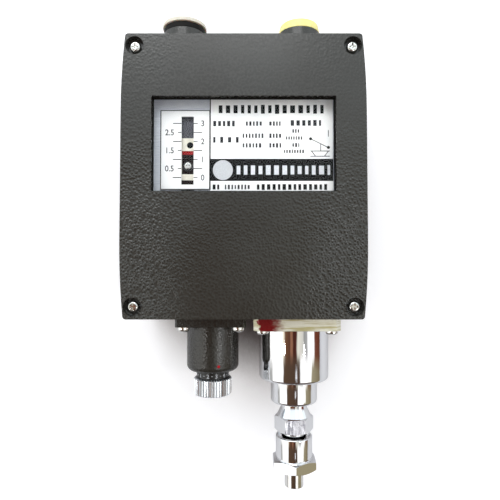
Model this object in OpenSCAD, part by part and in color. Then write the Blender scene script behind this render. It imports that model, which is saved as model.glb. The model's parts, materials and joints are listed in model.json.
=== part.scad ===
// Bellows pressure switch for wall mounting.
// Frame: +X right and +Z up when facing the cover, +Y into the wall, origin in the middle of the
// back mounting face. Depths are counted from that face towards the cover, so depth d is y = -d.

/* [Case] */
// Width across the middle of the bowed sides
body_w = 118; // [116:0.5:122]
// Height of the case
body_h = 137.3; // [136:0.5:142]
// Depth from the back face to the front of the cover
body_d = 62; // [61:0.5:66]
// Depth of the cover alone
cover_d = 8; // [8:0.5:9]
// How much narrower each side is at the ends than in the middle
side_bow = 1.9; // [0:0.1:2.5]
// Wall thickness of the die castings
wall = 3.2; // [2.8:0.1:3.4]

/* [Window] */
// Width of the window opening
window_w = 88.7; // [84:0.1:90]
// Height of the window opening
window_h = 46; // [44:0.1:47]
// Height of the window's middle above the case's middle
window_z = 15.2; // [14.8:0.1:15.6]

/* [Setting mechanism] */
// Sideways place of the range spindle and its scale slot
range_x = -27.9; // [-28.5:0.1:-27.5]
// Scale length of one pressure unit
scale_pitch = 9; // [8:0.1:9.2]
// Greatest reading of the scale
scale_units = 3; // [2:1:3]
// Width of the slot in the scale plate
slot_w = 6.1; // [5:0.1:7]

/* [Connections below] */
// Sideways place of the differential adjuster
diff_x = -16.9; // [-17.5:0.1:-16.5]
// Sideways place of the pressure element
bellows_x = 26.4; // [26:0.1:27]
// Across flats of the union nut
union_af = 22; // [21:0.5:24]
// Outer radius of the pipe stub
pipe_r = 5; // [4.5:0.1:5]

/* [Cable entries above] */
// Sideways place of the open cable entry
gland_x = -32.8; // [-33.5:0.1:-32]
// Sideways place of the plugged cable entry
plug_x = 29.9; // [29:0.1:31]
// Radius of the cable bore
cable_r = 4.75; // [3:0.05:5]

/* [Hidden] */
$fn = 64;
tiny = 0.05;                    // running clearance on a radius
port_d = 31.5;                  // depth of all four connection axes

// Case
half_h = body_h / 2;
flat_half = 32;                 // half height of the straight stretch of each side
corner_r = 1.5;
side_steps = 5;                 // chords on each bowed stretch
rim_d = body_d - cover_d;       // depth of the cover's parting face
gasket_t = 1;
case_d = rim_d - gasket_t;      // depth of the rear casting's rim
back_t = 4;
inner_z = half_h - wall;
cover_face_t = 3;
cover_in = body_d - cover_face_t;
cover_wall = 3;

// Cover screws, M3 pan heads in counterbores
cover_screw_x = 52.65;
cover_screw_z = 62.8;
cover_boss_r = 4.6;
counterbore_r = 4.4;
counterbore_depth = 3.4;
m3_r = 1.5;
m3_head_r = 2.8;
m3_head_h = 2.4;
cover_screw_l = 13.8;

// Wall fixing, four blind M5 holes
wall_bolt_x = 45;
wall_bolt_z = 54;
wall_bolt_r = 2.5;
wall_bolt_depth = 10;
wall_boss_r = 5.5;
wall_boss_d = 12;

// Window
gasket_edge = 0.5;              // rubber under the pane
gasket_lip = 0.7;               // how far the rubber shows inside the opening
pane_t = 1.5;
pane_margin = 2.7;
retainer_t = 0.8;
retainer_margin = 7.1;
retainer_screw_x = 49;
retainer_screw_dz = 27.8;
m2_r = 1;
pane_back_d = cover_in - gasket_edge - pane_t;

// Plates behind the window
plate_t = 0.8;
plate_d = rim_d;                // depth of the plates' front face
sheet_t = 1;
sheet_d = plate_d - plate_t;    // depth of the plate bracket's front face
sheet_w = 106;
sheet_z0 = -13;
sheet_z1 = 43;
post_x = 50;
post_z = [36, -9];
post_r = 3;
scale_x0 = -41.4;
scale_x1 = -16.75;
scale_z0 = -5.9;
scale_z1 = 33.8;
name_x0 = -16.7;
name_x1 = 44.1;
name_z0 = -10;
name_z1 = 42;
scale_zero_z = 0.2;
slot_over = 3.5;                // how far the slot runs past the end marks
slot_z0 = scale_zero_z - slot_over;
slot_z1 = scale_zero_z + scale_pitch * scale_units + slot_over;
sheet_slot_w = 6.6;

// Range spindle, carriage and pointer
spindle_d = 44.4;
m6_r = 3;
carriage_w = 16.6;
carriage_t = 14;
carriage_z0 = -4;
carriage_z1 = 33;
carriage_front_d = 51.4;
spring_boss_r = 4.95;
spring_boss_h = 8;
pointer_w = 9;
pointer_z0 = -0.8;
pointer_z1 = 20.3;
pointer_t = 0.7;
pointer_recess_z0 = 2.2;
pointer_recess_z1 = 10.4;
pointer_screw_z = 6.3;
pointer_hole_z = 16.8;
shelf_z0 = 52;
shelf_t = 3;
spindle_tail_z = -19;
spindle_head_r = 5.8;
spindle_head_h = 6;
circlip_t = 1;

// Mechanism bracket
base_d0 = 6;
base_d1 = 8;
base_x = 38;
base_z0 = -47;
base_z1 = 55;
cheek_t = 1.5;
cheek_gap = 0.2;
cheek_z0 = -22;
bracket_screws_xz = [[range_x, -40], [30, -40], [range_x, 48], [12, 48]];
m4_r = 2;
m4_head_r = 3.5;
m4_head_h = 2.4;
pad_r = 5;

// Lever
pivot_x = 2;
pivot_z = -50;
lever_t = 4;
lever_x0 = -34;
lever_x1 = 49;
lever_d0 = 26;
lever_d1 = 49;
lever_top = pivot_z + lever_t / 2;
lever_bottom = pivot_z - lever_t / 2;
pivot_r = 2;
pivot_boss_r = 4.5;
ear_t = 2;
ear_rear_d = 22.5;
ear_front_d = 50;
ear_x0 = -4;
ear_x1 = 8;
ear_z0 = -55;
ear_web_z0 = -43;
anchor_head_r = 4;
contact_gap = 0.05;             // play between the lever and the pieces that it moves

// Main spring
main_spring_r = 6.95;
wire_t = 2;
main_coils = 11;
main_spring_z0 = lever_top + tiny;
main_spring_z1 = carriage_z0;

// Snap-action switch
switch_x0 = 22;
switch_w = 27.8;
switch_h = 16;
switch_z0 = -44.5;
switch_d0 = 28;
switch_t = 10.3;
switch_mid_d = switch_d0 + switch_t / 2;
plunger_x = 44;
plunger_r = 1.5;
switch_hole_r = 1.5;
switch_hole_dx = 11.1;
tab_x = [25.5, 33.5, 41.5];
tab_w = 3.2;
tab_t = 0.6;
tab_h = 7;
ear_sheet_t = 2;

// Terminal block
block_x = 12;
block_w = 52;
block_z0 = 45;
block_h = 13;
block_d0 = 30;
block_t = 16;
cells = 4;
cell_pitch = 10;
cell_w = 7;
cell_h = 9;
cell_t = 7;
block_fix_dx = 22.5;
wire_r = 0.9;
wire_rings = 22;
wire_sides = 8;
wire_top_d = 38;

// Pressure element
flange_w = 43.4;
flange_chamfer = 2.6;
flange_z = -75.6;
flange_gasket_t = 0.8;
flange_gasket_over = 1.2;
bellows_screw_dx = 17.4;
flange_head_r = 3.2;
flange_head_h = 1.8;
barrel_r = 18.35;
barrel_z = -102.9;
nose_r = 12.25;
nose_z = -115.5;
edge_round = 1.6;
chamber_r = 14.6;
chamber_z = -98;
guide_r = 15.6;
guide_t = 3.4;
port_r = 2.5;
bellows_r = 12.8;
bellows_root_r = 9.6;
bellows_z1 = -74;
folds = 9;
cap_t = 2.5;
rod_r = 3;

// Hexagon adaptor and union
neck_r = 6.8;
cone_z = -118;
adaptor_af = 18;
adaptor_z1 = -122.6;
adaptor_z0 = -130.6;
adaptor_turn = -1;              // degrees that the front flat is turned towards +X
spigot_r = 5.5;
spigot_l = 3.4;
relief_r = 6.5;
relief_z0 = -136.4;
union_thread_r = 8;
thread_end_z = -143;
nut_z1 = -133.1;
nut_mouth_r = 8.6;
nut_mouth_t = 2.4;
nut_hole_r = 5.2;
nut_r = 9.7;
nut_hex_z = -144.6;
nut_z0 = -150.1;
nut_turn = 30;                  // degrees that put an edge of the hexagon at the front
washer_t = 0.6;
nipple_collar_r = 7.5;
nipple_collar_z = -146;
nipple_neck_r = 4.75;
pipe_z = -159.6;
pipe_bore_r = 3;

// Differential adjuster
diff_flange_w = 35.5;
diff_flange_z = -74.2;
diff_screw_dx = 13.9;
diff_head_h = 2.6;
diff_r = 13.75;
diff_z = -98.6;
diff_round = 3;
diff_bore_r = 10;
diff_floor_z = -94.6;
tube_r = 10.4;
tube_bore_r = 9;
tube_z = -60;
diff_cap_t = 2.5;
diff_spindle_r = 4;
diff_spindle_z1 = -72;
seat_z0 = -88;
seat_t = 4;
seat_r = 9.5;
plunger_flange_t = 2;
diff_pin_r = 3;
diff_spring_r = 8;
diff_coils = 6;
dial_r = 8.6;
dial_gap = 0.3;
knob_r = 10.1;
knob_root_r = 9.75;
knob_z1 = -102.5;
knob_z0 = -111.4;
knob_teeth = 44;
knob_core_r = 3;
grub_r = 1.25;

// Cable entries
boss_r = 11.15;
boss_z = 82.7;
entry_r = 8;
seal_t = 3;
gland_flange_r = 11.9;
gland_flange_t = 2.1;
gland_relief_r = 5.6;
neck_z = 72;
plug_head_r = 11.35;
plug_head_t = 4.8;
plug_head_taper = 0.9;
plug_bore_r = 6;

// ---------- shared shapes ----------

// How far a side lies inside the widest line at height z
function side_inset(z) =
    side_bow * pow(max(0, abs(z) - flat_half) / (half_h - flat_half), 2);

// One side of the case, drawn upwards, set in by t from the outside
function side_points(t) = let(z_end = half_h - t - corner_r) concat(
    [for (i = [side_steps:-1:1]) let(z = -flat_half - (z_end - flat_half) * i / side_steps)
        [body_w / 2 - side_inset(z) - t, z]],
    [[body_w / 2 - t, -flat_half], [body_w / 2 - t, flat_half]],
    [for (i = [1:side_steps]) let(z = flat_half + (z_end - flat_half) * i / side_steps)
        [body_w / 2 - side_inset(z) - t, z]]);

// The rounded corner that closes the top of that side
function corner_points(t) = let(
    z_end = half_h - t - corner_r,
    x_end = body_w / 2 - side_inset(z_end) - t)
    [for (a = [30:30:90]) [x_end - corner_r * (1 - cos(a)), z_end + corner_r * sin(a)]];

module outline(t = 0) {
    right = concat(side_points(t), corner_points(t));
    low = [for (i = [len(corner_points(t)) - 1:-1:0]) [corner_points(t)[i][0], -corner_points(t)[i][1]]];
    half = concat(low, right);
    polygon(concat(half, [for (i = [len(half) - 1:-1:0]) [-half[i][0], half[i][1]]]));
}

// Extrudes a drawing in x and z between two depths
module slab(d0, d1) {
    rotate([90, 0, 0]) translate([0, 0, d0]) linear_extrude(d1 - d0) children();
}

// Round bar along the depth
module bar(x, z, d0, d1, r) {
    rotate([90, 0, 0]) translate([x, z, d0]) cylinder(r = r, h = d1 - d0);
}

// Upright round bar between two heights
module upright(x, d, z0, z1, r) {
    translate([x, -d, z0]) cylinder(r = r, h = z1 - z0);
}

// Block between two corners given as x, depth, z
module block(x0, x1, d0, d1, z0, z1) {
    translate([x0, -d1, z0]) cube([x1 - x0, d1 - d0, z1 - z0]);
}

module rectangle(x0, x1, z0, z1) {
    translate([x0, z0]) square([x1 - x0, z1 - z0]);
}

// Round bar along +Z whose free end at the top is rounded
module round_end(r, h, edge) {
    rotate_extrude() polygon(concat([[0, 0], [r, 0]],
        [for (a = [0:15:90]) [r - edge * (1 - cos(a)), h - edge * (1 - sin(a))]], [[0, h]]));
}

// Round head that narrows by taper towards a rounded top
module tapered_end(r, h, taper, edge) {
    rotate_extrude() polygon(concat([[0, 0], [r, 0]],
        [for (a = [0:15:90]) [r - taper - edge * (1 - cos(a)), h - edge * (1 - sin(a))]], [[0, h]]));
}

// Screw with its head above z = 0, its shank below and a cross recess
module pan_screw(r, length, head_r, head_h) {
    recess = head_h * 0.6;
    arm = head_r * 0.3;
    difference() {
        union() {
            round_end(head_r, head_h, head_h * 0.55);
            translate([0, 0, -length]) cylinder(r = r, h = length + head_h / 4);
        }
        for (turn = [0, 90]) rotate(turn)
            translate([-head_r * 0.6, -arm / 2, head_h - recess]) cube([head_r * 1.2, arm, head_h]);
    }
}

module facing_front(x, z, d) {
    translate([x, -d, z]) rotate([90, 0, 0]) children();
}

module facing_down(x, d, z) {
    translate([x, -d, z]) rotate([180, 0, 0]) children();
}

module four(dx, dz) {
    for (sx = [-1, 1], sz = [-1, 1]) translate([sx * dx, sz * dz]) children();
}

// Hexagon bar with both ends chamfered by a cone
module hexagon(af, z0, z1, turn) {
    corner = af / 2 / cos(30);
    drop = (corner - af / 2) * 0.58;
    intersection() {
        translate([0, 0, z0]) rotate(turn) cylinder(r = corner, h = z1 - z0, $fn = 6);
        rotate_extrude() polygon([[0, z0], [af / 2, z0], [corner, z0 + drop],
            [corner, z1 - drop], [af / 2, z1], [0, z1]]);
    }
}

// Wound spring drawn as touching rings on a thin sleeve
module spring(r, z0, z1, coils) {
    pitch = (z1 - z0 - wire_t) / (coils - 1);
    rotate_extrude() {
        for (i = [0:coils - 1]) translate([r - wire_t / 2, z0 + wire_t / 2 + i * pitch])
            circle(r = wire_t / 2, $fn = 24);
        translate([r - wire_t * 0.6, z0 + wire_t / 2]) square([wire_t * 0.2, z1 - z0 - wire_t]);
    }
}

// ---------- case ----------

module housing() {
    color("#5b5d5c") difference() {
        union() {
            slab(0, back_t) outline();
            difference() {
                slab(0, case_d) outline();
                slab(-1, case_d + 1) outline(wall);
            }
            for (sx = [-1, 1], sz = [-1, 1]) {
                bar(sx * cover_screw_x, sz * cover_screw_z, 0, case_d, cover_boss_r);
                bar(sx * wall_bolt_x, sz * wall_bolt_z, 0, wall_boss_d, wall_boss_r);
            }
            for (p = bracket_screws_xz) bar(p[0], p[1], 0, base_d0, pad_r);
            bar(earth_x, earth_z, 0, base_d0, pad_r);
            for (x = [gland_x, plug_x]) upright(x, port_d, inner_z, boss_z, boss_r);
            for (p = flange_bosses) upright(p[0], p[1], -inner_z - 1, flange_boss_z, flange_boss_r);
        }
        for (sx = [-1, 1], sz = [-1, 1]) {
            bar(sx * cover_screw_x, sz * cover_screw_z, case_d - 14, case_d + 1, m3_r + tiny);
            bar(sx * wall_bolt_x, sz * wall_bolt_z, -1, wall_bolt_depth, wall_bolt_r);
        }
        for (p = bracket_screws_xz) bar(p[0], p[1], back_t / 2, base_d0 + 1, m4_r);
        bar(earth_x, earth_z, back_t / 2, base_d0 + 1, m4_r);
        for (x = [gland_x, plug_x]) upright(x, port_d, inner_z - 1, boss_z + 1, entry_r);
        for (p = flange_bosses) upright(p[0], p[1], -half_h - 1, flange_boss_z - 2, m4_r);
        upright(diff_x, port_d, -half_h - 1, -inner_z + 1, tube_r + 0.1);
        upright(bellows_x, port_d, -half_h - 1, -inner_z + 1, guide_r + 0.1);
    }
}
earth_x = -46;
earth_z = 14;
flange_boss_r = 4;
flange_boss_z = -58;
flange_bosses = concat(
    [for (sx = [-1, 1], sd = [-1, 1]) [bellows_x + sx * bellows_screw_dx, port_d + sd * bellows_screw_dx]],
    [for (sx = [-1, 1], sd = [-1, 1]) [diff_x + sx * diff_screw_dx, port_d + sd * diff_screw_dx]]);

module cover_gasket() {
    color("#202020") slab(case_d, rim_d) difference() {
        union() {
            difference() {
                outline(0.4);
                outline(wall - 0.4);
            }
            intersection() {
                outline(0.4);
                four(cover_screw_x, cover_screw_z) circle(r = cover_boss_r);
            }
        }
        four(cover_screw_x, cover_screw_z) circle(r = m3_r + 0.4);
    }
}

module cover() {
    color("#5f6162") difference() {
        union() {
            slab(cover_in, body_d) outline();
            slab(rim_d, body_d) difference() {
                outline();
                outline(cover_wall);
            }
            slab(rim_d, body_d) intersection() {
                outline();
                four(cover_screw_x, cover_screw_z) circle(r = cover_boss_r + 0.6);
            }
            for (sx = [-1, 1], sz = [-1, 1])
                bar(sx * retainer_screw_x, window_z + sz * retainer_screw_dz, pane_back_d, body_d - 1, 2);
        }
        slab(cover_in - 1, body_d + 1) rectangle(-window_w / 2, window_w / 2,
            window_z - window_h / 2, window_z + window_h / 2);
        for (sx = [-1, 1], sz = [-1, 1]) {
            bar(sx * cover_screw_x, sz * cover_screw_z, rim_d - 1, body_d + 1, m3_r + 0.2);
            bar(sx * cover_screw_x, sz * cover_screw_z, body_d - counterbore_depth, body_d + 1,
                counterbore_r);
            bar(sx * retainer_screw_x, window_z + sz * retainer_screw_dz, pane_back_d - 1,
                pane_back_d + 3, m2_r);
        }
    }
}

module cover_screws() {
    color("#d8d8d4") for (sx = [-1, 1], sz = [-1, 1])
        facing_front(sx * cover_screw_x, sz * cover_screw_z, body_d - counterbore_depth)
            pan_screw(m3_r, cover_screw_l, m3_head_r, m3_head_h);
}

module window_frame(margin, inner) {
    difference() {
        rectangle(-window_w / 2 - margin, window_w / 2 + margin,
            window_z - window_h / 2 - margin, window_z + window_h / 2 + margin);
        rectangle(-window_w / 2 - inner, window_w / 2 + inner,
            window_z - window_h / 2 - inner, window_z + window_h / 2 + inner);
    }
}

module window_gasket() {
    color("#141414") slab(cover_in - gasket_edge, cover_in) window_frame(pane_margin, -gasket_lip);
}

module window_pane() {
    color([0.9, 0.95, 0.95, 0.3]) slab(pane_back_d, pane_back_d + pane_t)
        rectangle(-window_w / 2 - pane_margin, window_w / 2 + pane_margin,
            window_z - window_h / 2 - pane_margin, window_z + window_h / 2 + pane_margin);
}

module window_retainer() {
    color("#9a9c9d") slab(pane_back_d - retainer_t, pane_back_d) difference() {
        window_frame(retainer_margin, 1);
        translate([0, window_z]) four(retainer_screw_x, retainer_screw_dz) circle(r = m2_r + 0.1);
    }
}

module window_retainer_screws() {
    color("#c8c8c4") for (sx = [-1, 1], sz = [-1, 1])
        translate([sx * retainer_screw_x, -pane_back_d + retainer_t, window_z + sz * retainer_screw_dz])
            rotate([-90, 0, 0]) pan_screw(m2_r, 3.4, 1.9, 1);
}

// ---------- plates ----------

module plate_posts() {
    color("#b8b8b4") for (sx = [-1, 1], z = post_z) difference() {
        bar(sx * post_x, z, back_t, sheet_d - sheet_t, post_r);
        bar(sx * post_x, z, sheet_d - sheet_t - 8, sheet_d, m3_r);
    }
}

module plate_bracket() {
    color("#c2c6cc") slab(sheet_d - sheet_t, sheet_d) difference() {
        rectangle(-sheet_w / 2, sheet_w / 2, sheet_z0, sheet_z1);
        rectangle(range_x - sheet_slot_w / 2, range_x + sheet_slot_w / 2, sheet_z0 - 1, slot_z1 + 0.2);
        for (sx = [-1, 1], z = post_z) translate([sx * post_x, z]) circle(r = m3_r + 0.2);
    }
}

module plate_screws() {
    color("#d0d0cc") for (sx = [-1, 1], z = post_z)
        facing_front(sx * post_x, z, sheet_d) pan_screw(m3_r, 7, 2.6, 1.6);
}

module scale_plate() {
    color("#f4f3ee") slab(sheet_d, plate_d) difference() {
        rectangle(scale_x0, scale_x1, scale_z0, scale_z1);
        rectangle(range_x - slot_w / 2, range_x + slot_w / 2, slot_z0, slot_z1);
    }
}

module nameplate() {
    color("#f2f2f0") slab(sheet_d, plate_d) rectangle(name_x0, name_x1, name_z0, name_z1);
}

// ---------- mechanism ----------

module mechanism_bracket() {
    cheek_x = carriage_w / 2 + cheek_gap;
    switch_back_d = switch_d0 - ear_sheet_t;
    color("#8d9094") difference() {
        union() {
            block(-base_x, base_x, base_d0, base_d1, base_z0, base_z1);
            for (x = [range_x - cheek_x - cheek_t, range_x + cheek_x])
                block(x, x + cheek_t, base_d0, ear_front_d, cheek_z0, shelf_z0 + shelf_t);
            block(range_x - cheek_x - cheek_t, range_x + cheek_x + cheek_t, base_d0, ear_front_d,
                shelf_z0, shelf_z0 + shelf_t);
            block(ear_x0, ear_x1, base_d0, ear_front_d + ear_t, ear_web_z0, ear_web_z0 + ear_t);
            for (d = [ear_rear_d, ear_front_d])
                block(ear_x0, ear_x1, d, d + ear_t, ear_z0, ear_web_z0 + ear_t);
            block(switch_x0 - 2, switch_x0 + switch_w + 1, switch_back_d, switch_d0,
                switch_z0, switch_z0 + switch_h);
            block(switch_x0 - 2, switch_x0, base_d0, switch_d0, switch_z0, switch_z0 + switch_h);
        }
        upright(range_x, spindle_d, shelf_z0 - 1, shelf_z0 + shelf_t + 1, m6_r + tiny);
        bar(pivot_x, pivot_z, ear_rear_d - 1, ear_front_d + ear_t + 1, pivot_r);
        for (p = bracket_screws_xz) bar(p[0], p[1], base_d0 - 1, base_d1 + 1, m4_r + 0.2);
        for (s = [-1, 1]) {
            bar(switch_x0 + switch_w / 2 + s * switch_hole_dx, switch_z0 + switch_h / 2 + s * 4,
                switch_back_d - 1, switch_d0 + 1, switch_hole_r);
            bar(block_x + s * block_fix_dx, block_z0 + block_h / 2, base_d0 - 1, base_d1 + 1, m3_r);
        }
    }
}

module bracket_screws() {
    color("#c8c8c4") for (p = bracket_screws_xz)
        facing_front(p[0], p[1], base_d1) pan_screw(m4_r, 5.5, m4_head_r, m4_head_h);
}

module earth_screw() {
    color("#c9a24a") facing_front(earth_x, earth_z, base_d0 + 1)
        pan_screw(m4_r, 4.5, m4_head_r, m4_head_h);
    color("#c9a24a") difference() {
        bar(earth_x, earth_z, base_d0, base_d0 + 1, 4.6);
        bar(earth_x, earth_z, base_d0 - 1, base_d0 + 2, m4_r);
    }
}

module range_spindle() {
    color("#b9b7b0") translate([range_x, -spindle_d, 0]) difference() {
        union() {
            translate([0, 0, spindle_tail_z]) cylinder(r = m6_r, h = shelf_z0 + shelf_t - spindle_tail_z);
            translate([0, 0, shelf_z0 + shelf_t + tiny]) round_end(spindle_head_r, spindle_head_h, 0.8);
        }
        translate([-spindle_head_r, -0.8, shelf_z0 + shelf_t + spindle_head_h - 2.4])
            cube([2 * spindle_head_r, 1.6, 4]);
        translate([0, 0, shelf_z0 - tiny - circlip_t]) difference() {
            cylinder(r = m6_r + 1, h = circlip_t);
            translate([0, 0, -1]) cylinder(r = m6_r - 0.5, h = circlip_t + 2);
        }
    }
}

module spindle_circlip() {
    color("#77787a") translate([range_x, -spindle_d, shelf_z0 - tiny - circlip_t]) difference() {
        cylinder(r = m6_r + 2, h = circlip_t);
        translate([0, 0, -1]) cylinder(r = m6_r - 0.5, h = circlip_t + 2);
        translate([0, -1.2, -1]) cube([m6_r + 3, 2.4, circlip_t + 2]);
    }
}

module range_carriage() {
    color("#6e6f73") difference() {
        union() {
            block(range_x - carriage_w / 2, range_x + carriage_w / 2, carriage_front_d - carriage_t,
                carriage_front_d, carriage_z0, carriage_z1);
            upright(range_x, spindle_d, carriage_z0 - spring_boss_h, carriage_z0, spring_boss_r);
        }
        upright(range_x, spindle_d, carriage_z0 - spring_boss_h - 1, carriage_z1 + 1, m6_r + tiny);
        bar(range_x, pointer_screw_z, carriage_front_d - 3, carriage_front_d + 1, 1.25);
        bar(range_x + 1, pointer_hole_z, carriage_front_d - 2, carriage_front_d + 1, 1.6);
    }
}

module range_pointer() {
    color("#e9e4d2") slab(carriage_front_d, carriage_front_d + pointer_t) difference() {
        rectangle(range_x - pointer_w / 2, range_x + pointer_w / 2, pointer_z0, pointer_z1);
        rectangle(range_x - slot_w / 2, range_x + slot_w / 2, pointer_recess_z0, pointer_recess_z1);
        translate([range_x + 1, pointer_hole_z]) circle(r = 1.6);
    }
}

module pointer_washer() {
    color("#161616") difference() {
        bar(range_x, pointer_screw_z, carriage_front_d, carriage_front_d + 0.5, 2.5);
        bar(range_x, pointer_screw_z, carriage_front_d - 1, carriage_front_d + 2, 1.25);
    }
}

module pointer_screw() {
    color("#cfcfca") facing_front(range_x, pointer_screw_z, carriage_front_d + 0.5)
        pan_screw(1.25, 3.2, 1.8, 1);
}

module main_spring() {
    color("#a7a9ab") translate([range_x, -spindle_d, 0])
        spring(main_spring_r + tiny, main_spring_z0, main_spring_z1, main_coils);
}

module main_lever() {
    color("#9b9488") difference() {
        union() {
            block(lever_x0, lever_x1, lever_d0, lever_d1, lever_bottom, lever_top);
            bar(pivot_x, pivot_z, ear_rear_d + ear_t + 0.3, ear_front_d - 0.3, pivot_boss_r);
        }
        bar(pivot_x, pivot_z, ear_rear_d, ear_front_d + 1, pivot_r + tiny);
        upright(range_x, spindle_d, lever_bottom - 1, lever_top + 1, m4_r);
    }
}

module lever_pivot_pin() {
    color("#c4c4c0") bar(pivot_x, pivot_z, ear_rear_d - 0.5, ear_front_d + ear_t + 0.5, pivot_r);
}

module spring_anchor() {
    color("#8f9093") {
        upright(range_x, spindle_d, lever_top, lever_top + spring_boss_h, spring_boss_r);
        upright(range_x, spindle_d, lever_bottom, lever_top, m4_r);
        upright(range_x, spindle_d, lever_bottom - 3, lever_bottom, anchor_head_r);
    }
}

// ---------- switch and wiring ----------

module microswitch_case() {
    color("#2a2622") difference() {
        block(switch_x0, switch_x0 + switch_w, switch_d0, switch_d0 + switch_t,
            switch_z0, switch_z0 + switch_h);
        for (s = [-1, 1]) bar(switch_x0 + switch_w / 2 + s * switch_hole_dx,
            switch_z0 + switch_h / 2 + s * 4, switch_d0 - 1, switch_d0 + switch_t + 1, switch_hole_r);
        upright(plunger_x, switch_mid_d, switch_z0 - 1, switch_z0 + 6, plunger_r + tiny);
    }
}

module switch_plunger() {
    color("#7d2f26") upright(plunger_x, switch_mid_d, lever_top + contact_gap, switch_z0 + 3, plunger_r);
}

module switch_terminals() {
    color("#c9a552") for (x = tab_x) block(x - tab_w / 2, x + tab_w / 2, switch_mid_d - tab_t / 2,
        switch_mid_d + tab_t / 2, switch_z0 + switch_h, switch_z0 + switch_h + tab_h);
}

module switch_screws() {
    color("#c8c8c4") for (s = [-1, 1]) facing_front(switch_x0 + switch_w / 2 + s * switch_hole_dx,
        switch_z0 + switch_h / 2 + s * 4, switch_d0 + switch_t)
            pan_screw(switch_hole_r, switch_t + ear_sheet_t, 2.7, 1.8);
}

module terminal_standoffs() {
    color("#b8b8b4") for (s = [-1, 1]) difference() {
        union() {
            bar(block_x + s * block_fix_dx, block_z0 + block_h / 2, base_d1, block_d0, 3);
            bar(block_x + s * block_fix_dx, block_z0 + block_h / 2, base_d0, base_d1, m3_r);
        }
        bar(block_x + s * block_fix_dx, block_z0 + block_h / 2, block_d0 - 6, block_d0 + 1, m3_r);
    }
}

function cell_x(i) = block_x + (i - (cells - 1) / 2) * cell_pitch;

module terminal_block() {
    block_front = block_d0 + block_t;
    mid_z = block_z0 + block_h / 2;
    color("#33302c") difference() {
        block(block_x - block_w / 2, block_x + block_w / 2, block_d0, block_front,
            block_z0, block_z0 + block_h);
        for (i = [0:cells - 1]) block(cell_x(i) - cell_w / 2, cell_x(i) + cell_w / 2,
            block_front - cell_t, block_front + 1, mid_z - cell_h / 2, mid_z + cell_h / 2);
        for (s = [-1, 1]) bar(block_x + s * block_fix_dx, mid_z, block_d0 - 1, block_front + 1, m3_r);
    }
}

module terminal_clamps() {
    mid_z = block_z0 + block_h / 2;
    clamp_d = block_d0 + block_t - cell_t;
    color("#c9a552") for (i = [0:cells - 1]) difference() {
        block(cell_x(i) - 3, cell_x(i) + 3, clamp_d, clamp_d + 2.5, mid_z - 4, mid_z + 4);
        bar(cell_x(i), mid_z, clamp_d - 1, clamp_d + 3, 1.6);
    }
}

module terminal_screws() {
    mid_z = block_z0 + block_h / 2;
    block_front = block_d0 + block_t;
    color("#d6d6d0") {
        for (i = [0:cells - 1]) facing_front(cell_x(i), mid_z, block_front - cell_t + 2.5)
            pan_screw(1.6, 2.4, 2.8, 2);
        for (s = [-1, 1]) facing_front(block_x + s * block_fix_dx, mid_z, block_front)
            pan_screw(m3_r, block_t + 5, 2.7, 1.8);
    }
}

// One wire from a switch tab up to the terminal block
function ease(t) = t * t * (3 - 2 * t);
function wire_point(i, t) = [
    tab_x[i] + (cell_x(i + 1) - tab_x[i]) * ease(t),
    -switch_mid_d - (wire_top_d - switch_mid_d) * ease(t),
    switch_z0 + switch_h + tab_h + (block_z0 - switch_z0 - switch_h - tab_h) * t];

module wire(i) {
    rings = [for (k = [0:wire_rings]) wire_point(i, k / wire_rings)];
    points = [for (c = rings, s = [0:wire_sides - 1])
        c + wire_r * [cos(s * 360 / wire_sides), sin(s * 360 / wire_sides), 0]];
    last = wire_rings * wire_sides;
    polyhedron(points, concat(
        [[for (s = [0:wire_sides - 1]) s]],
        [[for (s = [wire_sides - 1:-1:0]) last + s]],
        [for (k = [0:wire_rings - 1], s = [0:wire_sides - 1])
            let(a = k * wire_sides + s, b = k * wire_sides + (s + 1) % wire_sides)
                [a, a + wire_sides, b + wire_sides, b]]), convexity = 4);
}

module internal_wires() {
    color("#7a2a26") for (i = [0:len(tab_x) - 1]) wire(i);
}

// ---------- pressure element ----------

module chamfered_square(w, c) {
    h = w / 2;
    polygon([[-h, c - h], [c - h, -h], [h - c, -h], [h, c - h], [h, h - c], [h - c, h],
        [c - h, h], [-h, h - c]]);
}

module flange_holes(dx, z0, z1) {
    for (sx = [-1, 1], sd = [-1, 1]) translate([sx * dx, sd * dx, z0]) cylinder(r = m4_r, h = z1 - z0);
}

module bellows_flange_gasket() {
    color("#1c1c1c") translate([bellows_x, -port_d, -half_h - flange_gasket_t]) difference() {
        linear_extrude(flange_gasket_t) square(flange_w + flange_gasket_over, center = true);
        translate([0, 0, -1]) cylinder(r = guide_r + 0.1, h = 3);
        flange_holes(bellows_screw_dx, -1, 2);
    }
}

module bellows_housing() {
    top = -half_h - flange_gasket_t;
    color("#dcdcd8") translate([bellows_x, -port_d, 0]) difference() {
        union() {
            translate([0, 0, flange_z]) linear_extrude(top - flange_z)
                chamfered_square(flange_w, flange_chamfer);
            translate([0, 0, flange_z]) mirror([0, 0, 1])
                round_end(barrel_r, flange_z - barrel_z, edge_round);
            translate([0, 0, barrel_z]) mirror([0, 0, 1])
                round_end(nose_r, barrel_z - nose_z, edge_round);
        }
        translate([0, 0, chamber_z]) cylinder(r = chamber_r, h = top - chamber_z + 1);
        translate([0, 0, nose_z - 1]) cylinder(r = port_r, h = chamber_z - nose_z + 2);
        translate([0, 0, nose_z - 1]) cylinder(r = spigot_r, h = spigot_l + 1.1);
        flange_holes(bellows_screw_dx, flange_z - 1, top + 1);
    }
}

module bellows_flange_screws() {
    color("#d8d8d4") for (sx = [-1, 1], sd = [-1, 1])
        facing_down(bellows_x + sx * bellows_screw_dx, port_d + sd * bellows_screw_dx, flange_z)
            pan_screw(m4_r, 13, flange_head_r, flange_head_h);
}

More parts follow.
